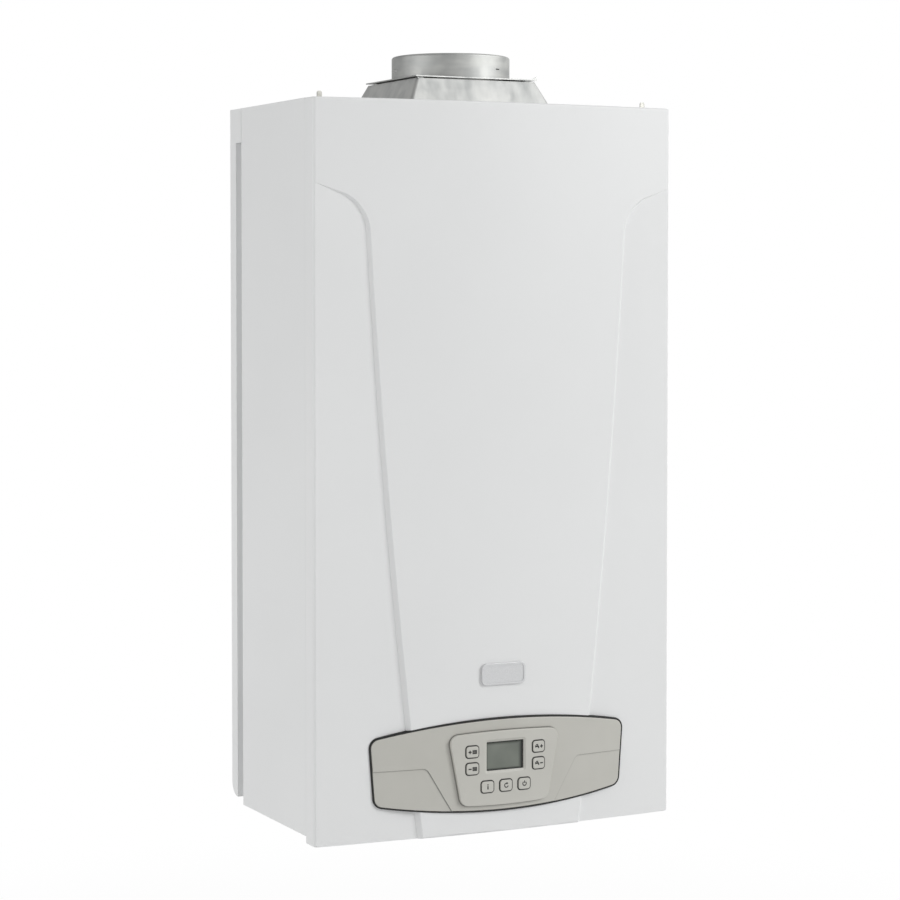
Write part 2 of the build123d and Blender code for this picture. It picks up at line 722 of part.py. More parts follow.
def keypad_plate():
    outline = keypad_outline()
    surface = behind(FACIA_R + KEYPAD_PROUD, KEYPAD_DEPTH)
    plate = prism(outline, FLANGE_DEPTH, COVER_DEPTH + BOW) & surface
    plate = fillet(plate.faces().sort_by(Axis.Y)[0].edges(), KEYPAD_EDGE_R)
    plate += prism(offset(outline, KEYPAD_RIM), FLANGE_DEPTH, FLANGE_DEPTH + KEYPAD_WALL)
    plate -= prism(offset(outline, -KEYPAD_WALL), FLANGE_DEPTH - KEYPAD_WALL, KEYPAD_INNER)
    hole_w, hole_h = BUTTON_W + 2 * BUTTON_GAP, BUTTON_H + 2 * BUTTON_GAP
    hole = RectangleRounded(hole_w, hole_h, BUTTON_CORNER_R + BUTTON_GAP)
    for x, z in button_places().values():
        plate -= prism(Pos(x, z) * hole, KEYPAD_INNER - KEYPAD_FACE, 2 * COVER_DEPTH)
    middle = Pos(0, below(DISPLAY_DROP))
    narrow = middle * RectangleRounded(DISPLAY_W, DISPLAY_H, DISPLAY_CORNER_R)
    plate -= prism(narrow, KEYPAD_INNER - KEYPAD_FACE, 2 * COVER_DEPTH)
    wide_w, wide_h = DISPLAY_W + 2 * DISPLAY_BEVEL, DISPLAY_H + 2 * DISPLAY_BEVEL
    wide = middle * RectangleRounded(wide_w, wide_h, DISPLAY_MOUTH_R)
    floor = FRONT.offset(KEYPAD_DEPTH - DISPLAY_BEVEL_DEPTH) * narrow
    mouth = FRONT.offset(KEYPAD_DEPTH + BUTTON_SEAT_GAP) * wide
    return plate - loft([floor, mouth])


def display_window():
    half_w = DISPLAY_W / 2 + WINDOW_LAP
    half_h = DISPLAY_H / 2 + WINDOW_LAP
    z = (below(DISPLAY_DROP) - half_h, below(DISPLAY_DROP) + half_h)
    return block((-half_w, half_w), (KEYPAD_INNER - WINDOW_T, KEYPAD_INNER), z)


def button(x, z):
    cap = RectangleRounded(BUTTON_W, BUTTON_H, BUTTON_CORNER_R)
    foot_w, foot_h = BUTTON_W + 2 * BUTTON_FLANGE, BUTTON_H + 2 * BUTTON_FLANGE
    foot = RectangleRounded(foot_w, foot_h, BUTTON_CORNER_R)
    seat = KEYPAD_INNER - BUTTON_SEAT_GAP
    crown = KEYPAD_DEPTH + BUTTON_PROUD
    body = prism(Pos(x, z) * cap, seat - BUTTON_FLANGE_T, COVER_DEPTH + BOW)
    body &= behind(FACIA_R + KEYPAD_PROUD + BUTTON_PROUD, crown)
    body = fillet(body.faces().sort_by(Axis.Y)[0].edges(), BUTTON_EDGE_R)
    body += prism(Pos(x, z) * foot, seat - BUTTON_FLANGE_T, seat)
    tip = FACE_BOARD_DEPTH + BOARD_T + SWITCH_H + SWITCH_GAP + BUTTON_TRAVEL
    return body + rod(at(x, tip, z), at(x, seat, z), STEM_R)


def keypad_mat():
    half_w, half_h = FACE_BOARD_W / 2 - WINDOW_LAP, FACE_BOARD_H / 2 - WINDOW_LAP
    z = below(FACE_BOARD_DROP)
    rear = FLANGE_DEPTH + KEYPAD_WALL
    mat = block((-half_w, half_w), (rear, rear + MAT_T), (z - half_h, z + half_h))
    for x in (-half_w + 2 * POST_R, half_w - 2 * POST_R):
        for lift in (POST_R - half_h, half_h - POST_R):
            mat += rod(at(x, FACE_BOARD_DEPTH + BOARD_T, z + lift), at(x, rear, z + lift), POST_R / 2)
    window = DISPLAY_W / 2 + 2 * WINDOW_LAP
    low = below(DISPLAY_DROP) - DISPLAY_H / 2 - 2 * WINDOW_LAP
    mat -= block((-window, window), (rear - MAT_T, rear + 2 * MAT_T), (low, TOP))
    for x, height in button_places().values():
        mat -= rod(at(x, rear - MAT_T, height), at(x, rear + 2 * MAT_T, height), STEM_R + STEM_CLEAR)
    return mat


def control_box():
    half = BOX_W / 2
    z = (below(BOX_BOTTOM_DROP), below(BOX_TOP_DROP))
    box = block((-half, half), (BOX_REAR, BOX_FRONT), z)
    box = fillet(box.edges().filter_by(Axis.Y), BOX_WALL)
    inside = (z[0] + BOX_WALL, z[1] - BOX_WALL)
    box -= block((BOX_WALL - half, half - BOX_WALL), (BOX_REAR, BOX_FRONT - BOX_WALL), inside)
    post_x = MAIN_BOARD_W / 2 - 2 * POST_R
    for x in (-post_x, post_x):
        for lift in (3 * POST_R, MAIN_BOARD_H - 3 * POST_R):
            foot = at(x, MAIN_BOARD_DEPTH + BOARD_T, z[0] + BOX_WALL + lift)
            box += rod(foot, at(x, BOX_FRONT - BOX_WALL, z[0] + BOX_WALL + lift), POST_R)
    for x in (-FACE_BOARD_W / 2 + POST_R, FACE_BOARD_W / 2 - POST_R):
        for lift in (-FACE_BOARD_H / 4, FACE_BOARD_H / 4):
            height = below(FACE_BOARD_DROP) + lift
            box += rod(at(x, BOX_FRONT - BOX_WALL, height), at(x, FACE_BOARD_DEPTH, height), POST_R)
    axis = (HINGE_DEPTH, below(HINGE_DROP))
    return box - rod(at(-CASE_W, *axis), at(CASE_W, *axis), HINGE_PIN_R)


def box_lid():
    half = BOX_W / 2
    z = (below(BOX_BOTTOM_DROP), below(BOX_TOP_DROP))
    lid = block((-half, half), (BOX_REAR - LID_T, BOX_REAR), z)
    lid = fillet(lid.edges().filter_by(Axis.Y), BOX_WALL)
    inner = half - BOX_WALL - SEAM_GAP
    low, high = z[0] + BOX_WALL + SEAM_GAP, z[1] - BOX_WALL - SEAM_GAP
    rim_depth = (BOX_REAR, BOX_REAR + LID_RIM)
    rim = block((-inner, inner), rim_depth, (low, high))
    rim -= block((BOX_WALL - inner, inner - BOX_WALL), rim_depth, (low + BOX_WALL, high - BOX_WALL))
    gland = at(GLAND_X, BOX_REAR - LID_T, (z[0] + z[1]) / 2)
    lid += rim + rod(gland + Vector(0, 3 * LID_T, 0), gland, GLAND_R)
    return lid - rod(gland + Vector(0, 4 * LID_T, 0), gland - Vector(0, 2 * LID_T, 0), GLAND_BORE_R)


def circuit_boards():
    low = below(BOX_BOTTOM_DROP) + BOX_WALL
    front = MAIN_BOARD_DEPTH + BOARD_T
    half = MAIN_BOARD_W / 2
    main = block((-half, half), (MAIN_BOARD_DEPTH, front), (low, low + MAIN_BOARD_H))
    relay_z = (low + RELAY_LIFT, low + RELAY_LIFT + RELAY_H)
    for index in range(RELAY_COUNT):
        x = RELAY_X + (index - (RELAY_COUNT - 1) / 2) * RELAY_PITCH
        main += block((x - RELAY_W / 2, x + RELAY_W / 2), (front, front + RELAY_T), relay_z)
    coil_x = (TRANSFORMER_X - TRANSFORMER_W / 2, TRANSFORMER_X + TRANSFORMER_W / 2)
    coil_z = (low + TRANSFORMER_LIFT, low + TRANSFORMER_LIFT + TRANSFORMER_H)
    main += block(coil_x, (front, front + TRANSFORMER_T), coil_z)
    for index in range(CAPACITOR_COUNT):
        x = (index - (CAPACITOR_COUNT - 1) / 2) * CAPACITOR_PITCH
        foot = at(x, front, low + CAPACITOR_LIFT)
        main += rod(foot, foot - Vector(0, CAPACITOR_L, 0), CAPACITOR_R)
    z = below(FACE_BOARD_DROP)
    face = FACE_BOARD_DEPTH + BOARD_T
    half = FACE_BOARD_W / 2
    panel = block((-half, half), (FACE_BOARD_DEPTH, face), (z - FACE_BOARD_H / 2, z + FACE_BOARD_H / 2))
    half_w, half_h = DISPLAY_W / 2, DISPLAY_H / 2
    display = (below(DISPLAY_DROP) - half_h, below(DISPLAY_DROP) + half_h)
    panel += block((-half_w, half_w), (face, KEYPAD_INNER - WINDOW_T), display)
    for x, height in button_places().values():
        switch_z = (height - STEM_R, height + STEM_R)
        panel += block((x - 2 * STEM_R, x + 2 * STEM_R), (face, face + SWITCH_H), switch_z)
    return Compound(children=[main, panel])


def hinge_pins():
    end = HINGE_ARM_X + RAIL_T + HINGE_SIDE_GAP
    axis = (HINGE_DEPTH, below(HINGE_DROP))
    pin = rod(at(BOX_W / 2 - BOX_WALL, *axis), at(end, *axis), HINGE_PIN_R)
    return Compound(children=[pin, mirrored(pin)])


# Flue
def hood_section(width, length, middle, height, inset):
    shape = RectangleRounded(width - 2 * inset, length - 2 * inset, HOOD_CORNER_R)
    return Pos(0, -middle, height) * shape


def hood_solid(inset):
    """The hood's outer or inner shape, flaring from the top plate down to the chamber."""
    rim = hood_section(PLATE_W - 2 * PLATE_OVERHANG, PLATE_L - 2 * PLATE_OVERHANG, FLUE_DEPTH,
                       TOP + PLATE_RISE - PLATE_T - PLATE_GAP, inset)
    waist = hood_section(HOOD_TOP_W, HOOD_TOP_L, FLUE_DEPTH, TOP, inset)
    skirt_w, skirt_l = CHAMBER_W + 2 * HOOD_T, CHAMBER_L + 2 * HOOD_T
    skirt = hood_section(skirt_w, skirt_l, CHAMBER_MID, below(HOOD_DROP), inset)
    return loft([rim, waist], ruled=True) + loft([waist, skirt], ruled=True)


def flue_hood():
    top = TOP + PLATE_RISE - PLATE_T - PLATE_GAP
    inner = hood_solid(HOOD_T) & block((-CASE_W, CASE_W), (0, CASE_W), (below(CASE_H), top - HOOD_T))
    hood = hood_solid(0) - inner
    hood -= rod(at(0, FLUE_DEPTH, TOP), at(0, FLUE_DEPTH, TOP + 2 * PLATE_RISE), FLUE_R - FLUE_STOP)
    reach_x = PLATE_W / 2 - PLATE_OVERHANG - 2 * DIMPLE_R
    reach_y = PLATE_L / 2 - PLATE_OVERHANG - 2 * DIMPLE_R
    for x in (-reach_x, reach_x):
        for shift in (-reach_y, reach_y):
            foot = at(x, FLUE_DEPTH + shift, top)
            hood += rod(foot, foot + Vector(0, 0, PLATE_GAP), DIMPLE_R)
    z = (below(CHAMBER_DROP + HOOD_LEG_LAP), below(HOOD_DROP) + HOOD_T)
    for side in (-1, 1):
        x = (side * HOOD_LEG_X - HOOD_LEG_W / 2, side * HOOD_LEG_X + HOOD_LEG_W / 2)
        hood += block(x, (CHAMBER_FRONT, CHAMBER_FRONT + HOOD_T), z)
        hood += block(x, (CHAMBER_REAR - HOOD_T, CHAMBER_REAR), z)
    return hood


def hood_plate():
    z = (TOP + PLATE_RISE - PLATE_T, TOP + PLATE_RISE)
    depth = (FLUE_DEPTH - PLATE_L / 2, FLUE_DEPTH + PLATE_L / 2)
    plate = block((-PLATE_W / 2, PLATE_W / 2), depth, z)
    plate -= rod(at(0, FLUE_DEPTH, TOP), at(0, FLUE_DEPTH, TOP + 2 * PLATE_RISE), FLUE_R - FLUE_STOP)
    end = PLATE_W / 2
    corners = ((end, z[1]), (end - PLATE_TAB_W, z[1]), (end, z[1] + PLATE_TAB_H))
    tab = make_face(Polyline(*corners, close=True))
    return plate + prism(tab, depth[1] - PLATE_T, depth[1])


def flue_collar():
    """Spun sheet ring whose top edge turns in."""
    roll = 2 * FLUE_WALL
    foot = TOP + PLATE_RISE
    upright = (Align.CENTER, Align.CENTER, Align.MIN)
    collar = Pos(0, -FLUE_DEPTH, foot) * Cylinder(FLUE_R, FLUE_H, align=upright)
    collar = fillet(collar.edges().group_by(Axis.Z)[-1], roll)
    bore = Pos(0, -FLUE_DEPTH, foot - FLUE_WALL) * Cylinder(FLUE_R - FLUE_WALL, FLUE_H, align=upright)
    bore = fillet(bore.edges().group_by(Axis.Z)[-1], FLUE_WALL)
    mouth = Pos(0, -FLUE_DEPTH, foot) * Cylinder(FLUE_R - roll, 3 * FLUE_H)
    collar -= bore + mouth
    for index in range(FLUE_SLOTS):
        turn = FLUE_SLOT_ANGLE + 360.0 / FLUE_SLOTS * index
        slot = Pos(0, -FLUE_R, 0) * Box(FLUE_SLOT_W, 4 * FLUE_WALL, FLUE_SLOT_H)
        collar -= Pos(0, -FLUE_DEPTH, foot + FLUE_SLOT_RISE) * Rot(0, 0, turn) * slot
    return collar


def flue_thermostat():
    middle = at(HOOD_LEG_X, CHAMBER_FRONT + HOOD_T, below((HOOD_DROP + CHAMBER_DROP) / 2))
    case = rod(middle, middle - Vector(0, THERMOSTAT_H, 0), THERMOSTAT_R)
    for shift in (-THERMOSTAT_R / 2, THERMOSTAT_R / 2):
        x = middle.X + shift
        depth = (-middle.Y, -middle.Y + 2 * THERMOSTAT_H)
        spade_z = (middle.Z - SPADE_T / 2, middle.Z + SPADE_T / 2)
        case += block((x - SPADE_W / 2, x + SPADE_W / 2), depth, spade_z)
    return case


# Heat cell
def combustion_chamber():
    half = CHAMBER_W / 2
    z = (below(CHAMBER_BOTTOM_DROP), below(CHAMBER_DROP))
    shell = block((-half, half), (CHAMBER_REAR, CHAMBER_FRONT), z)
    inner = half - SHEET
    shell -= block((-inner, inner), (CHAMBER_REAR + SHEET, CHAMBER_FRONT - SHEET), (z[0], z[1] - SHEET))
    mouth_x, mouth = half - CHAMBER_LEDGE, (CHAMBER_REAR + CHAMBER_LEDGE, CHAMBER_FRONT - CHAMBER_LEDGE)
    shell -= block((-mouth_x, mouth_x), mouth, (z[1] - 2 * SHEET, z[1]))
    rail_z = (z[0] + BAR_RAIL_LIFT, z[0] + BAR_RAIL_LIFT + SHEET)
    shell += block((-inner, inner), (CHAMBER_REAR, CHAMBER_REAR + BAR_RAIL), rail_z)
    front = BAR_REAR + BAR_L
    shell += block((-inner, inner), (front - BAR_RAIL / 2, front + BAR_RAIL / 4), rail_z)
    arm_z = (below(CHAMBER_ARM_DROP + CHAMBER_ARM_H), below(CHAMBER_ARM_DROP))
    reach = GROOVE_X - FRAME_T
    arm = block((half - SHEET, reach), (CHAMBER_REAR, CHAMBER_REAR + FRAME_T), arm_z)
    arm += block((reach - FRAME_T, reach), (GROOVE_END + FRAME_T, CHAMBER_REAR + FRAME_T), arm_z)
    shell += both(arm)
    for x in ELECTRODE_XS:
        rear = at(x, CHAMBER_MID, below(BAR_DROP) + ELECTRODE_LIFT)
        shell -= rod(rear, rear - Vector(0, CHAMBER_L, 0), ELECTRODE_R + HINGE_CLEAR)
    return shell


def insulation_panels():
    half = CHAMBER_W / 2 - SHEET
    z = (below(CHAMBER_DROP + SHEET + INSULATION_H), below(CHAMBER_DROP + SHEET))
    rear, front = CHAMBER_REAR + SHEET, CHAMBER_FRONT - SHEET
    back = block((-half, half), (rear, rear + INSULATION_T), z)
    face = block((-half, half), (front - INSULATION_T, front), z)
    side = block((half - INSULATION_T, half), (rear + INSULATION_T, front - INSULATION_T), z)
    return Compound(children=[back, face, side, mirrored(side)])


def tube_depths():
    return [TUBE_REAR + index * TUBE_PITCH for index in range(TUBE_PASSES)]


def exchanger_fins():
    z = (below(CHAMBER_DROP), below(CHAMBER_DROP) + FIN_H)
    depth = (CHAMBER_MID - FIN_L / 2, CHAMBER_MID + FIN_L / 2)
    holes = [rod(at(-CASE_W, tube, below(TUBE_DROP)), at(CASE_W, tube, below(TUBE_DROP)), TUBE_R)
             for tube in tube_depths()]
    lift = TUBE_R / 2
    fin = block((-FIN_T / 2, FIN_T / 2), depth, (z[0] + lift, z[1]))
    for hole in holes:
        fin -= hole
    fins = [Pos(index * FIN_PITCH - FIN_HALF, 0, 0) * fin for index in range(FIN_COUNT)]
    inner = FIN_HALF + FIN_T / 2
    wide = (depth[0] - FRAME_PLATE_T, depth[1] + FRAME_PLATE_T)
    frame = both(block((inner, inner + FRAME_PLATE_T), wide, z))
    for hole in holes:
        frame -= hole
    for edge in (wide[0], depth[1]):
        frame += block((-inner, inner), (edge, edge + FRAME_PLATE_T), z)
    return Compound(children=fins + [frame])


def exchanger_tubes():
    """One tube that runs to and fro through the fins, with a bend at the end of each pass."""
    points = []
    for index, depth in enumerate(tube_depths()):
        side = 1 if index % 2 == 0 else -1
        points.append((side * TUBE_HALF, depth, below(TUBE_DROP)))
        points.append((-side * TUBE_HALF, depth, below(TUBE_DROP)))
    return pipe(points, TUBE_R, TUBE_PITCH / 2 - TUBE_BEND_SLACK)


def burner_bars():
    z = below(BAR_DROP + BAR_H)
    bars = []
    for index in range(BAR_COUNT):
        x = (index - (BAR_COUNT - 1) / 2) * BAR_PITCH
        bar = block((x - BAR_W / 2, x + BAR_W / 2), (BAR_REAR, BAR_REAR + BAR_L), (z, z + BAR_H))
        bar = fillet(bar.edges().filter_by(Axis.Y).group_by(Axis.Z)[-1], BAR_W / 3)
        slot = (z + BAR_H - BAR_W / 2, z + BAR_H)
        bar -= block((x - FIN_T, x + FIN_T), (BAR_REAR + BAR_W, BAR_REAR + BAR_L - BAR_W), slot)
        throat = at(x, BAR_REAR + BAR_L, z + BAR_H / 2)
        bar -= rod(throat + Vector(0, BAR_L / 2, 0), throat, NOZZLE_R)
        bars.append(bar)
    return Compound(children=bars)


def burner_manifold():
    half = CHAMBER_W / 2 - SHEET
    rear = BAR_REAR + BAR_L + NOZZLE_L + FIN_T
    z = below(BAR_DROP + BAR_H / 2)
    tube = block((-half, half), (rear, rear + MANIFOLD_W), (z - MANIFOLD_H / 2, z + MANIFOLD_H / 2))
    inner = half - 2 * SHEET
    hollow = (rear + SHEET, rear + MANIFOLD_W - SHEET)
    tube -= block((-inner, inner), hollow, (z - MANIFOLD_H / 2 + SHEET, z + MANIFOLD_H / 2 - SHEET))
    for index in range(BAR_COUNT):
        x = (index - (BAR_COUNT - 1) / 2) * BAR_PITCH
        tube += rod(at(x, rear + SHEET / 2, z), at(x, rear - NOZZLE_L, z), NOZZLE_R)
        tube -= rod(at(x, rear + SHEET, z), at(x, rear - NOZZLE_L - SHEET, z), NOZZLE_BORE_R)
    return tube


def electrodes():
    z = below(BAR_DROP) + ELECTRODE_LIFT
    front = CHAMBER_FRONT + ELECTRODE_L / 3
    rods = []
    for x in ELECTRODE_XS:
        rear = at(x, front - ELECTRODE_L, z)
        ceramic = rod(at(x, front, z), rear, ELECTRODE_R)
        rods.append(ceramic + rod(rear, rear + Vector(0, ELECTRODE_L, 0), ELECTRODE_TIP_R))
    return Compound(children=rods)


# Gas train
def gas_valve():
    half = VALVE_W / 2
    z = (below(VALVE_DROP + VALVE_H), below(VALVE_DROP))
    body = block((-half, half), (VALVE_REAR, VALVE_REAR + VALVE_L), z)
    return fillet(body.edges().filter_by(Axis.Y), VALVE_R)


def gas_valve_coils():
    z = below(VALVE_DROP + VALVE_H / 2)
    front = VALVE_REAR + VALVE_L
    coils = [rod(at(x, front, z), at(x, front + COIL_L, z), COIL_R) for x in (-COIL_X, COIL_X)]
    return Compound(children=coils)


def manifold_depth():
    return BAR_REAR + BAR_L + NOZZLE_L + FIN_T + MANIFOLD_W / 2


def gas_inlet_pipe():
    start = below(TAIL_TOP_DROP)
    rise = below(VALVE_DROP + VALVE_H) - start
    points = [
        (0, TAIL_DEPTH, start),
        (0, TAIL_DEPTH, start + rise * OFFSET_START),
        (0, VALVE_IN_DEPTH, start + rise * OFFSET_END),
        (0, VALVE_IN_DEPTH, start + rise),
    ]
    return pipe(points, GAS_PIPE_R, PIPE_BEND)


def burner_pipe():
    start = below(VALVE_DROP)
    rise = below(BAR_DROP + BAR_H / 2) - MANIFOLD_H / 2 - start
    points = [
        (0, VALVE_OUT_DEPTH, start),
        (0, VALVE_OUT_DEPTH, start + rise * OFFSET_START),
        (0, manifold_depth(), start + rise * OFFSET_END),
        (0, manifold_depth(), start + rise),
    ]
    return pipe(points, MANIFOLD_W / 2 - FIN_T / 2, PIPE_BEND)


# Water side
def expansion_vessel():
    half = VESSEL_W / 2
    z = (below(VESSEL_DROP + VESSEL_H), below(VESSEL_DROP))
    body = block((-half, half), (FRAME_T, FRAME_T + VESSEL_T), z)
    body = fillet(body.edges(), VESSEL_R)
    rim = half + VESSEL_SEAM_OUT
    middle = FRAME_T + VESSEL_T / 2
    depth = (middle - VESSEL_SEAM_T / 2, middle + VESSEL_SEAM_T / 2)
    seam = block((-rim, rim), depth, (z[0] - VESSEL_SEAM_OUT, z[1] + VESSEL_SEAM_OUT))
    seam = fillet(seam.edges().filter_by(Axis.Y), VESSEL_R + VESSEL_SEAM_OUT)
    return body + seam


def vessel_hose():
    start = below(VESSEL_DROP + VESSEL_H) - VESSEL_SEAM_OUT
    end_x = BLOCK_MID_X + BLOCK_W / 2
    end_z = below((TAIL_TOP_DROP + BLOCK_TOP_DROP) / 2)
    side_x = (end_x + GROOVE_X - FRAME_T) / 2
    middle = FRAME_T + VESSEL_T / 2
    points = [
        (VESSEL_PORT_X, middle, start),
        (VESSEL_PORT_X, middle, start - 3 * HOSE_BEND),
        (side_x, middle, start - 7 * HOSE_BEND),
        (side_x, TAIL_DEPTH, end_z),
        (end_x, TAIL_DEPTH, end_z),
    ]
    room = side_x - end_x - HOSE_R / 2
    return pipe(points, HOSE_R, min(HOSE_BEND, room))


def pipe_bracket():
    half = GROOVE_X - FRAME_T
    z = (below(RAIL_DROP) - RAIL_T, below(RAIL_DROP))
    rail = block((-half, half), (FRAME_T, RAIL_L), z)
    rail += block((-half, half), (FRAME_T, FRAME_T + RAIL_T), (z[0], z[0] + RAIL_FLANGE))
    side_z = (z[0], z[0] + RAIL_FLANGE)
    rail += both(block((half - RAIL_T, half), (GROOVE_END, GROOVE_END + LAP), side_z))
    arm_depth = (RAIL_L - RAIL_FLANGE, HINGE_DEPTH + 3 * HINGE_PIN_R)
    arm_z = (z[0], below(HINGE_DROP) + 3 * HINGE_PIN_R)
    arm = block((HINGE_ARM_X, HINGE_ARM_X + RAIL_T), arm_depth, arm_z)
    axis = (HINGE_DEPTH, below(HINGE_DROP))
    arm -= rod(at(0, *axis), at(CASE_W, *axis), HINGE_PIN_R + HINGE_CLEAR)
    rail += both(arm)
    for x, radius in zip(TAIL_XS, TAIL_RS):
        low = at(x, TAIL_DEPTH, z[0] - RAIL_T)
        rail -= rod(low, low + Vector(0, 0, 3 * RAIL_T), radius + TAIL_CLEAR)
    low = at(FILLING_X, TAIL_DEPTH, z[0] - RAIL_T)
    return rail - rod(low, low + Vector(0, 0, 3 * RAIL_T), FILLING_KNOB_R / 2)


def connection_tails():
    tails = []
    rail_top, rail_low = below(RAIL_DROP), below(RAIL_DROP) - RAIL_T
    for x, radius in zip(TAIL_XS, TAIL_RS):
        low, high = at(x, TAIL_DEPTH, below(TAIL_END_DROP)), at(x, TAIL_DEPTH, below(TAIL_TOP_DROP))
        tail = rod(low, high, radius)
        for foot in (rail_top, rail_low - TAIL_NUT_H):
            nut = extrude(RegularPolygon(radius + TAIL_NUT_WIDER, 6), TAIL_NUT_H)
            tail += Pos(x, -TAIL_DEPTH, foot) * nut
        tails.append(tail - rod(low, high, radius - TAIL_WALL))
    return Compound(children=tails)


def flow_block():
    x_mid = -BLOCK_MID_X
    z = (below(TAIL_TOP_DROP), below(BLOCK_TOP_DROP))
    x = (x_mid - BLOCK_W / 2, x_mid + BLOCK_W / 2)
    body = block(x, (BLOCK_REAR, BLOCK_FRONT), z)
    body = fillet(body.edges().filter_by(Axis.Y), BLOCK_R)
    valve_x = TAIL_XS[0]
    top = at(valve_x, TAIL_DEPTH, below(DIVERTER_DROP))
    body += rod(at(valve_x, TAIL_DEPTH, z[0] + BLOCK_R), top, DIVERTER_R)
    inlet = at(valve_x, TAIL_DEPTH, below(DIVERTER_INLET_DROP))
    mouth = Vector(0, -(DIVERTER_R + PIPE_WALL * 3), 0)
    body += rod(inlet, inlet + mouth, PIPE_R + 2 * PIPE_WALL)
    chamber_top = top - Vector(0, 0, BLOCK_R)
    body -= rod(at(valve_x, TAIL_DEPTH, z[0] + BLOCK_R), chamber_top, DIVERTER_BORE_R)
    body -= rod(chamber_top, top, DIVERTER_STEM_R + STEM_RUN_CLEAR)
    return body - rod(inlet, inlet + mouth, PIPE_R - PIPE_WALL)


def diverter_motor():
    x = TAIL_XS[0]
    half = DIVERTER_HEAD_W / 2
    z = (below(DIVERTER_DROP), below(DIVERTER_DROP) + DIVERTER_HEAD_H)
    head = block((x - half, x + half), (TAIL_DEPTH - half, TAIL_DEPTH + half), z)
    head = fillet(head.edges().filter_by(Axis.Z), BLOCK_R)
    foot = at(x, TAIL_DEPTH, z[0])
    return head - rod(foot, foot + Vector(0, 0, DIVERTER_HEAD_H / 2), DIVERTER_STEM_R + 3 * STEM_RUN_CLEAR)


def diverter_stem():
    """Valve stem with its disc, at rest up against the heating side."""
    x = TAIL_XS[0]
    top = at(x, TAIL_DEPTH, below(DIVERTER_DROP) + DIVERTER_HEAD_H / 3)
    lift = BLOCK_R + DIVERTER_SEAT_LIFT + DIVERTER_TRAVEL
    low = at(x, TAIL_DEPTH, below(TAIL_TOP_DROP) + lift)
    stem = rod(low, top, DIVERTER_STEM_R)
    return stem + rod(low, low + Vector(0, 0, DIVERTER_SEAT_T), DIVERTER_SEAT_R)


def return_block():
    x_mid = BLOCK_MID_X
    z = (below(TAIL_TOP_DROP), below(BLOCK_TOP_DROP))
    body = block((x_mid - BLOCK_W / 2, x_mid + BLOCK_W / 2), (BLOCK_REAR, BLOCK_FRONT), z)
    body = fillet(body.edges().filter_by(Axis.Y), BLOCK_R)
    x = TAIL_XS[3]
    low, high = z[0] + TURBINE_RISE, z[0] + TURBINE_RISE + TURBINE_H
    clear = TURBINE_CLEAR
    body -= rod(at(x, TAIL_DEPTH, low - clear), at(x, TAIL_DEPTH, high + clear), TURBINE_R + clear)
    axle = TURBINE_AXLE_R + HINGE_CLEAR
    reach = TURBINE_AXLE_L + clear
    body -= rod(at(x, TAIL_DEPTH, low - reach), at(x, TAIL_DEPTH, high + reach), axle)
    foot = at(FILLING_X, TAIL_DEPTH, z[0])
    body -= rod(foot, foot + Vector(0, 0, KNOB_SPINDLE_L), KNOB_SPINDLE_R + HINGE_CLEAR)
    return body


def flow_turbine():
    x = TAIL_XS[3]
    low = below(TAIL_TOP_DROP) + TURBINE_RISE
    wheel = rod(at(x, TAIL_DEPTH, low), at(x, TAIL_DEPTH, low + TURBINE_H), TURBINE_HUB_R)
    middle = Pos(x, -TAIL_DEPTH, low + TURBINE_H / 2)
    for turn in range(TURBINE_VANES):
        vane = Pos(TURBINE_R / 2, 0, 0) * Box(TURBINE_R, TURBINE_VANE_T, TURBINE_H)
        wheel += middle * Rot(0, 0, 360.0 / TURBINE_VANES * turn) * vane
    axle_low = at(x, TAIL_DEPTH, low - TURBINE_AXLE_L)
    return wheel + rod(axle_low, axle_low + Vector(0, 0, TURBINE_H + 2 * TURBINE_AXLE_L), TURBINE_AXLE_R)


def safety_place():
    return at(TAIL_XS[4], BLOCK_FRONT, below((TAIL_TOP_DROP + BLOCK_TOP_DROP) / 2))


def safety_valve():
    seat = safety_place()
    end = seat - Vector(0, SAFETY_L, 0)
    body = rod(seat, end, SAFETY_R)
    outlet = seat - Vector(0, SAFETY_L / 2, 0)
    body += rod(outlet, outlet - Vector(0, 0, SAFETY_OUTLET_L), SAFETY_R / 2)
    return body - rod(end + Vector(0, KNOB_SPINDLE_L, 0), end, KNOB_SPINDLE_R + HINGE_CLEAR)


def safety_knob():
    end = safety_place() - Vector(0, SAFETY_L, 0)
    face = end - Vector(0, KNOB_GAP, 0)
    knob = Plane(origin=face, x_dir=(1, 0, 0), z_dir=(0, -1, 0)) * fluted_knob(SAFETY_KNOB_R, SAFETY_KNOB_L)
    return knob + rod(face, end + Vector(0, KNOB_SPINDLE_L - KNOB_GAP, 0), KNOB_SPINDLE_R)


def filling_knob():
    """Filling tap knob below the rail, on a spindle that turns in the return block."""
    rail = below(RAIL_DROP) - RAIL_T
    face = at(FILLING_X, TAIL_DEPTH, rail - KNOB_GAP)
    knob = Plane(origin=face, x_dir=(1, 0, 0), z_dir=(0, 0, -1)) * fluted_knob(FILLING_KNOB_R, FILLING_KNOB_L)
    top = at(FILLING_X, TAIL_DEPTH, below(TAIL_TOP_DROP) + KNOB_SPINDLE_L - KNOB_GAP)
    return knob + rod(face, top, KNOB_SPINDLE_R)


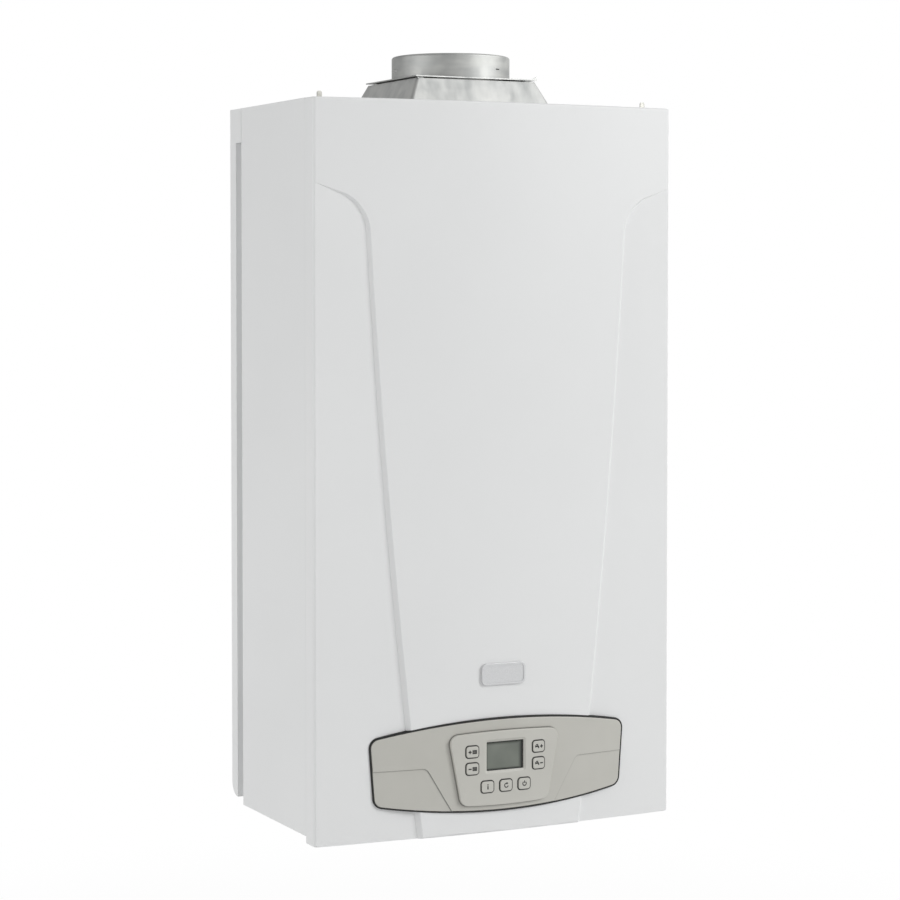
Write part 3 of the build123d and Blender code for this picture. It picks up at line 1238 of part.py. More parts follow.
def plate_exchanger():
    half = PLATE_HX_W / 2
    z_mid = below((TAIL_TOP_DROP + BLOCK_TOP_DROP) / 2)
    z = (z_mid - PLATE_HX_H / 2, z_mid + PLATE_HX_H / 2)
    core = block((-half, half), (PLATE_HX_REAR, BLOCK_REAR), z)
    core = fillet(core.edges().filter_by(Axis.Y), 3 * BLOCK_R)
    ring = block((-CASE_W, CASE_W), (0, PLATE_HX_EDGE), (z[0] - BLOCK_H, z[1] + BLOCK_H))
    core_z = (z[0] + PLATE_HX_EDGE, z[1] - PLATE_HX_EDGE)
    inner = block((PLATE_HX_EDGE - half, half - PLATE_HX_EDGE), (0, PLATE_HX_EDGE), core_z)
    inner = fillet(inner.edges().filter_by(Axis.Y), 3 * BLOCK_R - PLATE_HX_EDGE)
    groove = ring - inner
    pitch = (BLOCK_REAR - PLATE_HX_REAR) / PLATE_HX_PLATES
    for index in range(1, PLATE_HX_PLATES):
        core -= Pos(0, -(PLATE_HX_REAR + index * pitch - PLATE_HX_EDGE / 2), 0) * groove
    return core


def pump_point(depth):
    return at(PUMP_X, depth, below(PUMP_DROP))


def pump_body():
    rear, front = PUMP_DEPTH - VOLUTE_L / 2, PUMP_DEPTH + VOLUTE_L / 2
    body = rod(pump_point(rear), pump_point(front), VOLUTE_R)
    body = fillet(body.edges().group_by(Axis.Y)[-1], VOLUTE_R_EDGE)
    middle = pump_point(PUMP_DEPTH)
    foot = Vector(middle.X, middle.Y, below(BLOCK_TOP_DROP))
    body += rod(foot, middle, PORT_R)
    for x, drop, radius in ((PORT_X, PORT_DROP, PORT_R), (VENT_X, PORT_DROP, VENT_R - SHEET)):
        start = Vector(middle.X + x, middle.Y, middle.Z)
        body += rod(start, Vector(start.X, start.Y, below(drop)), radius)
    inner = VOLUTE_R - VOLUTE_WALL
    body -= rod(pump_point(rear + VOLUTE_WALL), pump_point(front), inner)
    start = Vector(middle.X + PORT_X, middle.Y, middle.Z)
    return body - rod(start, Vector(start.X, start.Y, below(PORT_DROP)), PORT_R - 2 * PIPE_WALL)


def pump_motor():
    front = PUMP_DEPTH + VOLUTE_L / 2
    can = rod(pump_point(front), pump_point(front + MOTOR_L), MOTOR_R)
    can += rod(pump_point(front), pump_point(front + BEARING_T), VOLUTE_R - VOLUTE_WALL / 2)
    middle = pump_point(front + MOTOR_L / 2)
    half = MOTOR_BOX_W / 2
    depth = (front + MOTOR_L / 2 - half + BEARING_T, front + MOTOR_L - BEARING_T)
    box_x = (PUMP_X - MOTOR_R - MOTOR_BOX_H / 2, PUMP_X)
    can += block(box_x, depth, (middle.Z - MOTOR_BOX_H, middle.Z + MOTOR_BOX_H))
    start = front + BEARING_T
    can -= rod(pump_point(start), pump_point(front + MOTOR_L - BEARING_T), ROTOR_R + MOTOR_WALL)
    bore_front = front + MOTOR_L - MOTOR_WALL
    return can - rod(pump_point(front - SHEET), pump_point(bore_front), SHAFT_R + SHAFT_CLEAR)


def pump_rotor():
    front = PUMP_DEPTH + VOLUTE_L / 2
    rear = PUMP_DEPTH - VOLUTE_L / 2 + VOLUTE_WALL + BEARING_T
    disc_rear = rear + IMPELLER_T
    rotor = rod(pump_point(disc_rear), pump_point(front + MOTOR_L - MOTOR_WALL - FIN_T), SHAFT_R)
    rotor += rod(pump_point(disc_rear), pump_point(disc_rear + MOTOR_WALL), IMPELLER_R)
    spin = pump_point(rear + IMPELLER_T / 2)
    vane_l = IMPELLER_R - SHEET - IMPELLER_EYE_R
    for turn in range(IMPELLER_VANES):
        vane = Pos(IMPELLER_EYE_R + vane_l / 2, 0, 0) * Box(vane_l, IMPELLER_T, MOTOR_WALL)
        rotor += Pos(spin) * Rot(0, 360.0 / IMPELLER_VANES * turn, 0) * vane
    magnet = front + BEARING_T + (MOTOR_L - 2 * BEARING_T - ROTOR_L) / 2
    return rotor + rod(pump_point(magnet), pump_point(magnet + ROTOR_L), ROTOR_R)


def air_vent():
    foot = at(PUMP_X + VENT_X, PUMP_DEPTH, below(PORT_DROP))
    body = rod(foot, foot + Vector(0, 0, VENT_H), VENT_R)
    body = fillet(body.edges().group_by(Axis.Z)[-1], VENT_R / 4)
    return body + rod(foot, foot + Vector(0, 0, VENT_H + VENT_R / 2), VENT_R / 4)


def flow_pipe():
    x_valve = TAIL_XS[0]
    mouth = TAIL_DEPTH + DIVERTER_R + 3 * PIPE_WALL
    turn = below(VALVE_DROP)
    points = [
        (-TUBE_HALF, TUBE_FRONT, below(TUBE_DROP)),
        (-RISER_X, TUBE_FRONT, below(TUBE_DROP)),
        (-RISER_X, TUBE_FRONT, turn),
        (x_valve, mouth + 3 * PIPE_BEND, below(DIVERTER_INLET_DROP)),
        (x_valve, mouth, below(DIVERTER_INLET_DROP)),
    ]
    return pipe(points, PIPE_R, PIPE_BEND)


def return_pipe():
    start = below(PORT_DROP)
    points = [
        (PUMP_X + PORT_X, PUMP_DEPTH, start),
        (PUMP_X + PORT_X, PUMP_DEPTH, start + 2 * PIPE_BEND),
        (RISER_X, TUBE_REAR, start + 5 * PIPE_BEND),
        (RISER_X, TUBE_REAR, below(TUBE_DROP)),
        (TUBE_HALF, TUBE_REAR, below(TUBE_DROP)),
    ]
    return pipe(points, PIPE_R, PIPE_BEND)


def pipe_sensors():
    """A clip-on temperature sensor on each riser."""
    sensors = []
    z = (below(CHAMBER_DROP), below(CHAMBER_DROP) + 2 * PIPE_R)
    for x, depth in ((-RISER_X, TUBE_FRONT), (RISER_X, TUBE_REAR)):
        ring = rod(at(x, depth, z[0]), at(x, depth, z[1]), PIPE_R + 2 * SHEET)
        ring += block((x - PIPE_R / 2, x + PIPE_R / 2), (depth + PIPE_R, depth + 2 * PIPE_R), z)
        sensors.append(ring - rod(at(x, depth, z[0]), at(x, depth, z[1]), PIPE_R))
    return Compound(children=sensors)


def pieces():
    """Each node's name and its shape."""
    right = side_panel()
    shapes = {
        "back_frame": back_frame(),
        "side_panel_right": right,
        "side_panel_left": mirrored(right),
        "top_panel": top_panel(),
        "panel_screws": panel_screws(),
        "cover_lugs": cover_lugs(),
        "stud_clips": stud_clips(),
        "front_cover": front_cover(),
        "cover_studs": cover_studs(),
        "badge_plate": badge_plate(),
        "facia": facia(),
        "keypad_plate": keypad_plate(),
        "display_window": display_window(),
        "keypad_mat": keypad_mat(),
        "control_box": control_box(),
        "box_lid": box_lid(),
        "circuit_boards": circuit_boards(),
        "hinge_pins": hinge_pins(),
        "flue_hood": flue_hood(),
        "hood_plate": hood_plate(),
        "flue_collar": flue_collar(),
        "flue_thermostat": flue_thermostat(),
        "combustion_chamber": combustion_chamber(),
        "insulation_panels": insulation_panels(),
        "exchanger_fins": exchanger_fins(),
        "exchanger_tubes": exchanger_tubes(),
        "burner_bars": burner_bars(),
        "burner_manifold": burner_manifold(),
        "electrodes": electrodes(),
        "gas_valve": gas_valve(),
        "gas_valve_coils": gas_valve_coils(),
        "gas_inlet_pipe": gas_inlet_pipe(),
        "burner_pipe": burner_pipe(),
        "expansion_vessel": expansion_vessel(),
        "vessel_hose": vessel_hose(),
        "pipe_bracket": pipe_bracket(),
        "connection_tails": connection_tails(),
        "flow_block": flow_block(),
        "diverter_motor": diverter_motor(),
        "diverter_stem": diverter_stem(),
        "return_block": return_block(),
        "flow_turbine": flow_turbine(),
        "safety_valve": safety_valve(),
        "safety_knob": safety_knob(),
        "filling_knob": filling_knob(),
        "plate_exchanger": plate_exchanger(),
        "pump_body": pump_body(),
        "pump_motor": pump_motor(),
        "pump_rotor": pump_rotor(),
        "air_vent": air_vent(),
        "flow_pipe": flow_pipe(),
        "return_pipe": return_pipe(),
        "pipe_sensors": pipe_sensors(),
    }
    for name, (x, z) in button_places().items():
        shapes[name] = button(x, z)
    return shapes


os.makedirs("parts", exist_ok=True)
for node, shape in pieces().items():
    export_step(shape, f"parts/{node}.step")
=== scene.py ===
import math

import bmesh
import bpy
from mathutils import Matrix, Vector
from mathutils.bvhtree import BVHTree


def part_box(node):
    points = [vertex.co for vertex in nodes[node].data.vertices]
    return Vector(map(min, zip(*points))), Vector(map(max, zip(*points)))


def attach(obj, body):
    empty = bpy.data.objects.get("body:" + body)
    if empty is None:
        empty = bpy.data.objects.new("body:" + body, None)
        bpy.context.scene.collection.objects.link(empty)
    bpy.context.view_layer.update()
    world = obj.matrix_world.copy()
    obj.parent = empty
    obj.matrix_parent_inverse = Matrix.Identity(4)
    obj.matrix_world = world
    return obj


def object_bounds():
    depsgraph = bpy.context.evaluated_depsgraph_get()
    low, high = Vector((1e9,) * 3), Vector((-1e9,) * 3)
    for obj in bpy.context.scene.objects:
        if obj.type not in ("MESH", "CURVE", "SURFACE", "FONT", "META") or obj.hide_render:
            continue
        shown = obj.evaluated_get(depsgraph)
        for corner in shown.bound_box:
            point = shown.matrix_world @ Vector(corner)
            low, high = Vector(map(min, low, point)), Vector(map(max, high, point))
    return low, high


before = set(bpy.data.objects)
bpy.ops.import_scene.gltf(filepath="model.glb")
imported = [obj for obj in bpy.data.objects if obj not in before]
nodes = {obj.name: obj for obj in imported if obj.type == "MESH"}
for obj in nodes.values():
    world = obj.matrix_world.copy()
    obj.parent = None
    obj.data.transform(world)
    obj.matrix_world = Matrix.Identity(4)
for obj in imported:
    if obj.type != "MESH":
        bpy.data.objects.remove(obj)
cad_low, cad_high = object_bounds()
scene = bpy.context.scene
MM = 0.001

# Camera
# The boiler is seen from the front and from its left, from a point level with its upper half,
# through a long lens. The lens is shifted down so that upright edges stay nearly upright.
SENSOR_WIDTH = 36.0
LENS = 101.0
LENS_SHIFT = -0.08
CAMERA_PLACE = (-1.153, -2.471, -0.141)
CAMERA_PITCH = 87.87
CAMERA_TURN = -26.05
camera_data = bpy.data.cameras.new("camera")
camera_data.sensor_width = SENSOR_WIDTH
camera_data.lens = LENS
camera_data.shift_y = LENS_SHIFT
camera = bpy.data.objects.new("camera", camera_data)
camera.location = CAMERA_PLACE
camera.rotation_euler = (math.radians(CAMERA_PITCH), 0.0, math.radians(CAMERA_TURN))
scene.collection.objects.link(camera)
scene.camera = camera
scene.view_settings.view_transform = "Standard"


# Studio
# A pale floor well below the boiler, white surroundings, one large soft box to the front right and
# a weaker one to the left. The helpers here serve every section after this one.
def linear(colour):
    """An sRGB hex colour as the linear colour that shaders take."""
    channels = [int(colour[place:place + 2], 16) / 255 for place in (1, 3, 5)]
    bright = [c / 12.92 if c <= 0.04045 else ((c + 0.055) / 1.055) ** 2.4 for c in channels]
    return (*bright, 1.0)


def add(tree, kind, settings=None, inputs=None):
    """Adds a node, sets its properties, and gives its inputs values or other nodes' outputs."""
    node = tree.nodes.new(kind)
    for name, value in (settings or {}).items():
        setattr(node, name, value)
    for name, value in (inputs or {}).items():
        if isinstance(value, bpy.types.NodeSocket):
            tree.links.new(value, node.inputs[name])
        else:
            node.inputs[name].default_value = value
    return node


def new_material(name):
    """An empty material and its node tree."""
    material = bpy.data.materials.new(name)
    material.use_nodes = True
    material.node_tree.nodes.clear()
    return material, material.node_tree


def math_node(tree, operation, first, second):
    """One sum on two values."""
    return add(tree, "ShaderNodeMath", {"operation": operation}, {0: first, 1: second}).outputs[0]


def map_range(tree, value, low, high, to_low, to_high, kind="LINEAR"):
    """Moves a value from one range into another, and holds it there."""
    inputs = {"Value": value, "From Min": low, "From Max": high, "To Min": to_low, "To Max": to_high}
    return add(tree, "ShaderNodeMapRange", {"interpolation_type": kind}, inputs).outputs["Result"]


def sees_white(tree):
    """1 for rays from the camera, from gloss and through glass, and 0 for the light on the object."""
    path = add(tree, "ShaderNodeLightPath")
    either = math_node(tree, "MAXIMUM", path.outputs["Is Camera Ray"], path.outputs["Is Glossy Ray"])
    return math_node(tree, "MAXIMUM", either, path.outputs["Is Transmission Ray"])


FLOOR_SIZE = 30
FLOOR_DROP = 0.30
SURROUND_LIGHT = 0.50
NEAR_WHITE = 0.93
SHADOW_NEAR = 0.5
SHADOW_FAR = 1.3
DARK_SIDE_GLOSS = 0.32
BRIGHT_SIDE_GLOSS = 0.88
DARK_SIDE_END = -0.7
BRIGHT_SIDE_END = 0.5
floor_level = cad_low.z - FLOOR_DROP
bpy.ops.mesh.primitive_plane_add(size=FLOOR_SIZE, location=(0, 0, floor_level))
floor = bpy.context.object
floor.name = "floor"
floor_paint, tree = new_material("pale_floor")
matte = add(tree, "ShaderNodeBsdfDiffuse", None, {"Color": linear("#E9E9E9")})
glow = add(tree, "ShaderNodeEmission", None, {"Color": linear("#FFFFFF"), "Strength": 1.0})
spot = add(tree, "ShaderNodeTexCoord").outputs["Object"]
distance = add(tree, "ShaderNodeVectorMath", {"operation": "LENGTH"}, {0: spot}).outputs["Value"]
fade = map_range(tree, distance, SHADOW_NEAR, SHADOW_FAR, NEAR_WHITE, 1.0, "SMOOTHSTEP")
share = math_node(tree, "MULTIPLY", sees_white(tree), fade)
mix = add(tree, "ShaderNodeMixShader", None, {0: share, 1: matte.outputs[0], 2: glow.outputs[0]})
add(tree, "ShaderNodeOutputMaterial", None, {"Surface": mix.outputs[0]})
floor.data.materials.append(floor_paint)

world = bpy.data.worlds.new("studio")
world.use_nodes = True
tree = world.node_tree
tree.nodes.clear()
dim = add(tree, "ShaderNodeBackground", None, {"Color": linear("#FAFAFA"), "Strength": SURROUND_LIGHT})
across = add(tree, "ShaderNodeSeparateXYZ", None,
             {"Vector": add(tree, "ShaderNodeTexCoord").outputs["Generated"]}).outputs["X"]
side = map_range(tree, across, DARK_SIDE_END, BRIGHT_SIDE_END, DARK_SIDE_GLOSS, BRIGHT_SIDE_GLOSS,
                 "SMOOTHSTEP")
gloss = add(tree, "ShaderNodeLightPath").outputs["Is Glossy Ray"]
bright = add(tree, "ShaderNodeMix", {"data_type": "FLOAT"}, {"Factor": gloss, "A": 1.0, "B": side})
white = add(tree, "ShaderNodeBackground", None,
            {"Color": linear("#FFFFFF"), "Strength": bright.outputs["Result"]})
mix = add(tree, "ShaderNodeMixShader", None,
          {0: sees_white(tree), 1: dim.outputs[0], 2: white.outputs[0]})
add(tree, "ShaderNodeOutputWorld", None, {"Surface": mix.outputs[0]})
scene.world = world


def soft_box(name, place, aim, width, height, watts):
    """A large rectangular lamp that looks at a point."""
    lamp = bpy.data.lights.new(name, "AREA")
    lamp.shape = "RECTANGLE"
    lamp.size = width
    lamp.size_y = height
    lamp.energy = watts
    holder = bpy.data.objects.new(name, lamp)
    holder.location = place
    holder.rotation_euler = (Vector(aim) - Vector(place)).to_track_quat("-Z", "Y").to_euler()
    scene.collection.objects.link(holder)


middle = (cad_low + cad_high) / 2
soft_box("right_box", place=(3.4, -3.4, 1.7), aim=middle, width=2.0, height=2.4, watts=128.0)
soft_box("left_box", place=(-2.9, -0.3, 0.4), aim=middle, width=1.6, height=2.2, watts=26.0)


# Casing
# Side panels, top, back frame and front cover are pressed from 1.2 mm steel sheet and powder-coated
# white. The coat is satin, and flows into a fine orange peel with waves about 2 mm apart.
CLOUD_LOW = 0.3
CLOUD_HIGH = 0.7


def object_place(tree, scale=(1.0, 1.0, 1.0), turn=(0.0, 0.0, 0.0)):
    """The place on the piece, in metres, stretched or turned for a pattern."""
    place = add(tree, "ShaderNodeTexCoord")
    mapping = add(tree, "ShaderNodeMapping", None,
                  {"Vector": place.outputs["Object"], "Rotation": turn, "Scale": scale})
    return mapping.outputs["Vector"]


def noise(tree, spacing, place=None, detail=2.0, rough=0.5):
    """Cloudy values from 0 to 1 whose lumps lie about a spacing apart, given in millimetres."""
    vector = place or object_place(tree)
    made = add(tree, "ShaderNodeTexNoise", None,
               {"Vector": vector, "Scale": 1 / (spacing * MM), "Detail": detail, "Roughness": rough})
    return made.outputs["Fac"]


def ramp(tree, value, colours, low=CLOUD_LOW, high=CLOUD_HIGH):
    """Blends evenly through two or more colours while a value goes from low to high."""
    blend = add(tree, "ShaderNodeValToRGB", None, {"Fac": value})
    stops = blend.color_ramp.elements
    for index in range(len(colours) - 2):
        stops.new(0.5)
    for index, (stop, colour) in enumerate(zip(stops, colours)):
        stop.position = low + (high - low) * index / (len(colours) - 1)
        stop.color = linear(colour)
    return blend.outputs["Color"]


def spread(tree, value, low, high):
    """Moves a cloudy value, most of which lies between the two ends above, into a range."""
    return map_range(tree, value, CLOUD_LOW, CLOUD_HIGH, low, high)


def bump(tree, height, depth, strength=1.0, under=None):
    """Surface relief of a depth given in millimetres."""
    inputs = {"Height": height, "Distance": depth * MM, "Strength": strength}
    if under is not None:
        inputs["Normal"] = under
    return add(tree, "ShaderNodeBump", None, inputs).outputs["Normal"]


def surface(tree, **inputs):
    """The shader that ends a material."""
    named = {name.replace("_", " "): value for name, value in inputs.items()}
    shader = add(tree, "ShaderNodeBsdfPrincipled", None, named)
    add(tree, "ShaderNodeOutputMaterial", None, {"Surface": shader.outputs[0]})


def dress(material, slot, *names):
    """Gives CAD nodes a material. The slot argument is not used."""
    for name in names:
        mesh = nodes[name].data
        mesh.materials.clear()
        mesh.materials.append(material)
        for face in mesh.polygons:
            face.material_index = 0


white_powder_coat, tree = new_material("white_powder_coat")
peel = bump(tree, noise(tree, 2.2, detail=1.0), 0.012, 0.5)
surface(tree,
        Base_Color=ramp(tree, noise(tree, 260.0), ("#E5E6E6", "#E8E9E9")),
        Roughness=spread(tree, noise(tree, 90.0), 0.38, 0.44),
        Specular_IOR_Level=0.45,
        Normal=peel)
dress(white_powder_coat, "white_enamel",
      "back_frame", "side_panel_left", "side_panel_right", "top_panel", "front_cover")

# Galvanised sheet metal
# The draught hood, its top plate, the combustion chamber and the pipe bracket are bent from hot-dip
# galvanised sheet, rolled upwards. The flue collar is rolled along its length and duller.
STREAK_SPACING = 16.0
SPANGLE_SIZE = 11.0
SPANGLE_SHARE = 0.2


def galvanised(name, colours, streak_scale, rough):
    """Zinc with soft rolling streaks and faint spangles."""
    material, tree = new_material(name)
    streaks = noise(tree, STREAK_SPACING, object_place(tree, scale=streak_scale), detail=3.0)
    spangle = add(tree, "ShaderNodeTexVoronoi", {"feature": "SMOOTH_F1"},
                  {"Vector": object_place(tree), "Scale": 1 / (SPANGLE_SIZE * MM), "Smoothness": 0.8})
    cell = add(tree, "ShaderNodeSeparateColor", None, {"Color": spangle.outputs["Color"]}).outputs[0]
    mottled = add(tree, "ShaderNodeMix", {"data_type": "FLOAT"},
                  {"Factor": SPANGLE_SHARE, "A": streaks, "B": cell})
    surface(tree,
            Base_Color=ramp(tree, mottled.outputs["Result"], colours, low=0.25, high=0.75),
            Metallic=1.0,
            Roughness=spread(tree, streaks, rough - 0.05, rough + 0.05),
            Normal=bump(tree, streaks, 0.03, 0.3))
    return material


dress(galvanised("galvanised_sheet", ("#ACAEAD", "#C4C5C3", "#D4D4D1"), (1.0, 1.0, 0.16), 0.36),
      "galvanised_steel", "flue_hood", "hood_plate", "combustion_chamber", "pipe_bracket")
dress(galvanised("dull_galvanised_sheet", ("#A6A8A7", "#B8B9B7", "#C8C9C6"), (0.3, 0.3, 1.6), 0.58),
      "galvanised_steel", "flue_collar")

# Zinc-plated hardware
# Screws, cover studs, top lugs, hinge pins and the gas manifold are turned or pressed from steel
# and zinc plated. The plate is bright, a little yellow, and faintly brushed.
zinc_plate, tree = new_material("zinc_plated_steel")
grain = noise(tree, 0.8, object_place(tree, scale=(1.0, 1.0, 6.0)), detail=3.0)
surface(tree,
        Base_Color=ramp(tree, noise(tree, 6.0), ("#A9A9A4", "#C7C6BF")),
        Metallic=1.0,
        Roughness=spread(tree, grain, 0.28, 0.42),
        Normal=bump(tree, grain, 0.02, 0.3))
dress(zinc_plate, "zinc_plated_steel",
      "panel_screws", "cover_lugs", "cover_studs", "hinge_pins", "burner_manifold")

# Facia
# The lens-shaped facia is moulded in warm grey ABS from a spark-eroded tool, which leaves a dull,
# fine grain. It carries a sunken wing at each side of the keypad.
CREASE_REACH = 2.0
CREASE_SHADE = 0.3
CREASE_FULL = 0.45
CREASE_NONE = 0.95


def painted_crease_shade(tree, colour):
    """Paints shade into a colour in creases narrower than the reach in millimetres, darkening it as
    ambient occlusion would.
    """
    clear = add(tree, "ShaderNodeAmbientOcclusion", {"samples": 8}, {"Distance": CREASE_REACH * MM})
    shade = map_range(tree, clear.outputs["AO"], CREASE_FULL, CREASE_NONE, CREASE_SHADE, 1.0)
    scaled = add(tree, "ShaderNodeVectorMath", {"operation": "SCALE"}, {0: colour, "Scale": shade})
    return scaled.outputs["Vector"]


def moulded_plastic(name, light, dark, rough, grain_size, grain_depth):
    """Matt moulded plastic with an even, fine grain."""
    material, tree = new_material(name)
    fine = noise(tree, grain_size, detail=2.0, rough=0.6)
    surface(tree,
            # Painted shade: the base colour is darkened in narrow creases.
            Base_Color=painted_crease_shade(tree, ramp(tree, noise(tree, 40.0), (dark, light))),
            Roughness=spread(tree, fine, rough - 0.05, rough + 0.05),
            IOR=1.53,
            Normal=bump(tree, fine, grain_depth, 0.5))
    return material


dress(moulded_plastic("warm_grey_abs", "#C0BFB8", "#BCBBB4", 0.46, 0.7, 0.02), "grey_abs", "facia")

# Keypad plate and buttons
# The plate round the display and the seven buttons are moulded in a paler grey of the same ABS.
# Each button is a cap on a stem that pushes a switch on the board behind it.
pale_abs = moulded_plastic("pale_grey_abs", "#C4C3BC", "#C1C0B9", 0.42, 0.6, 0.015)
button_names = sorted(name for name in nodes if name.startswith("button_"))
dress(pale_abs, "light_abs", "keypad_plate", *button_names)

# Display
# A clear acrylic window lies over a grey-green liquid crystal cell. Painted shade darkens the cell
# towards its edges, most along the right, then the top and bottom, where the frame behind the window
# would shade it.
DISPLAY_SHADE = 3.2
WINDOW_LAP = 1.5
display_low, display_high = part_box("display_window")
lcd_glass, tree = new_material("acrylic_over_liquid_crystal")
place = add(tree, "ShaderNodeSeparateXYZ", None, {"Vector": object_place(tree)})
window_lap = WINDOW_LAP * MM


def edge_shade(output, edge, inwards, reach):
    """1 at an edge of the display, falling to 0 within a reach given in millimetres."""
    end = edge + inwards * reach * MM
    return map_range(tree, place.outputs[output], edge, end, 1.0, 0.0, "SMOOTHSTEP")


shades = [
    edge_shade("X", display_high.x - window_lap, -1, 1.9 * DISPLAY_SHADE),
    edge_shade("X", display_low.x + window_lap, 1, 0.7 * DISPLAY_SHADE),
    edge_shade("Z", display_high.z - window_lap, -1, 1.4 * DISPLAY_SHADE),
    edge_shade("Z", display_low.z + window_lap, 1, 0.9 * DISPLAY_SHADE),
]
dark = shades[0]
for shade in shades[1:]:
    dark = math_node(tree, "MAXIMUM", dark, shade)
cell = ramp(tree, noise(tree, 30.0), ("#6B7069", "#7C8179"))
# Painted shade: the cell's colour goes to near black towards its edges.
colour = add(tree, "ShaderNodeMix", {"data_type": "RGBA"},
             {"Factor": dark, "A": cell, "B": linear("#1B1E1B")})
surface(tree, Base_Color=colour.outputs["Result"], Roughness=0.22, IOR=1.49, Specular_IOR_Level=0.35)
dress(lcd_glass, "display_glass", "display_window")

# Facia cord
# A round black cord in the gap between the facia and the cover is painted shade: a dark strip put where
# there is only the gap's shadow. It runs all round against the facia's edge and closes on itself.
FACIA_BOW = 11.0
OUTLINE_SINK = 14.0
CORD_R = 0.85
CORD_CLEAR = 0.05
CORD_SINK = 1.2
CORD_STEP = 1.5
CORD_SIDES = 10


def sweep_tree(name, sizes):
    """A geometry tree that starts with its input mesh, and whose sizes are named inputs."""
    tree = bpy.data.node_groups.new(name, "GeometryNodeTree")
    for label, kind in (("Geometry", "NodeSocketGeometry"), *sizes.items()):
        tree.interface.new_socket(label, in_out="INPUT", socket_type=kind)
    tree.interface.new_socket("Geometry", in_out="OUTPUT", socket_type="NodeSocketGeometry")
    return tree, add(tree, "NodeGroupInput")


def finish_tree(tree, geometry, material):
    """Joins what was repeated, gives it a material and ends the tree."""
    real = add(tree, "GeometryNodeRealizeInstances", None, {"Geometry": geometry})
    painted = add(tree, "GeometryNodeSetMaterial", None,
                  {"Geometry": real.outputs["Geometry"], "Material": material})
    add(tree, "NodeGroupOutput", None, {"Geometry": painted.outputs["Geometry"]})


def grown(name, points, edges, tree, values):
    """Runs a geometry tree on points and edges, and keeps the result as a plain mesh."""
    mesh = bpy.data.meshes.new(name)
    mesh.from_pydata(points, edges, [])
    start = bpy.data.objects.new(name, mesh)
    scene.collection.objects.link(start)
    modifier = start.modifiers.new(name, "NODES")
    modifier.node_group = tree
    for socket in tree.interface.items_tree:
        if socket.name in values and socket.in_out == "INPUT":
            modifier[socket.identifier] = values[socket.name]
    start.update_tag()
    bpy.context.view_layer.update()
    evaluated = start.evaluated_get(bpy.context.evaluated_depsgraph_get())
    start.data = bpy.data.meshes.new_from_object(evaluated)
    start.modifiers.clear()
    bpy.data.meshes.remove(mesh)
    return start


def front_outline(name, depth):
    """The largest closed outline in which an upright plane, parallel to the wall, cuts a CAD node."""
    cut = bmesh.new()
    cut.from_mesh(nodes[name].data)
    bmesh.ops.bisect_plane(cut, geom=cut.verts[:] + cut.edges[:] + cut.faces[:],
                           plane_co=(0.0, -depth, 0.0), plane_no=(0.0, 1.0, 0.0),
                           clear_inner=True, clear_outer=True)
    bmesh.ops.remove_doubles(cut, verts=cut.verts[:], dist=1e-6)
    loops = []
    left = set(cut.verts)
    while left:
        point = left.pop()
        loop = [point]
        while point is not None:
            near = [edge.other_vert(point) for edge in point.link_edges]
            point = next((vert for vert in near if vert in left), None)
            if point is not None:
                left.discard(point)
                loop.append(point)
        loops.append([vert.co.copy() for vert in loop])
    cut.free()
    return max(loops, key=lambda loop: max(co.x for co in loop) - min(co.x for co in loop))


def moved_out(loop, reach):
    """A closed outline in the XZ plane, moved outwards by a reach in metres."""
    middle_of = sum(loop, Vector()) / len(loop)
    moved = []
    for index, point in enumerate(loop):
        along = loop[(index + 1) % len(loop)] - loop[index - 1]
        out = Vector((along.z, 0.0, -along.x)).normalized()
        if out.dot(point - middle_of) < 0:
            out.negate()
        moved.append(point + out * reach)
    return moved


# Painted shade: one near-black colour for the strips that stand in for the shadow in gaps.
gap_shade_black, tree = new_material("painted_gap_shade_black")
dust = noise(tree, 1.5, detail=3.0)
surface(tree, Base_Color=ramp(tree, dust, ("#0E0E0E", "#191918")),
        Roughness=spread(tree, dust, 0.55, 0.7), Normal=bump(tree, dust, 0.02, 0.4))

cord_tree, given = sweep_tree("swept_cord", {"Radius": "NodeSocketFloat"})
path = add(cord_tree, "GeometryNodeMeshToCurve", None, {"Mesh": given.outputs["Geometry"]})
spaced = add(cord_tree, "GeometryNodeResampleCurve", {"mode": "LENGTH"},
             {"Curve": path.outputs["Curve"], "Length": CORD_STEP * MM})
round_section = add(cord_tree, "GeometryNodeCurvePrimitiveCircle", None,
                    {"Resolution": CORD_SIDES, "Radius": given.outputs["Radius"]})
swept = add(cord_tree, "GeometryNodeCurveToMesh", None,
            {"Curve": spaced.outputs["Curve"], "Profile Curve": round_section.outputs["Curve"]})
finish_tree(cord_tree, swept.outputs["Mesh"], gap_shade_black)

facia_low, facia_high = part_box("facia")
facia_front = -facia_low.y
facia_half = (facia_high.x - facia_low.x) / 2
facia_radius = facia_half ** 2 / (2 * FACIA_BOW * MM) + FACIA_BOW * MM / 2
outline = front_outline("facia", facia_front - OUTLINE_SINK * MM)
cord_points = []
for point in moved_out(outline, (CORD_R + CORD_CLEAR) * MM):
    depth = facia_front - facia_radius + math.sqrt(facia_radius ** 2 - point.x ** 2)
    cord_points.append((point.x, CORD_SINK * MM - depth, point.z))
ring = [(index, (index + 1) % len(cord_points)) for index in range(len(cord_points))]
facia_gap_shade_cord = grown("facia_gap_shade_cord", cord_points, ring, cord_tree, {"Radius": CORD_R * MM})
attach(facia_gap_shade_cord, "control_panel")
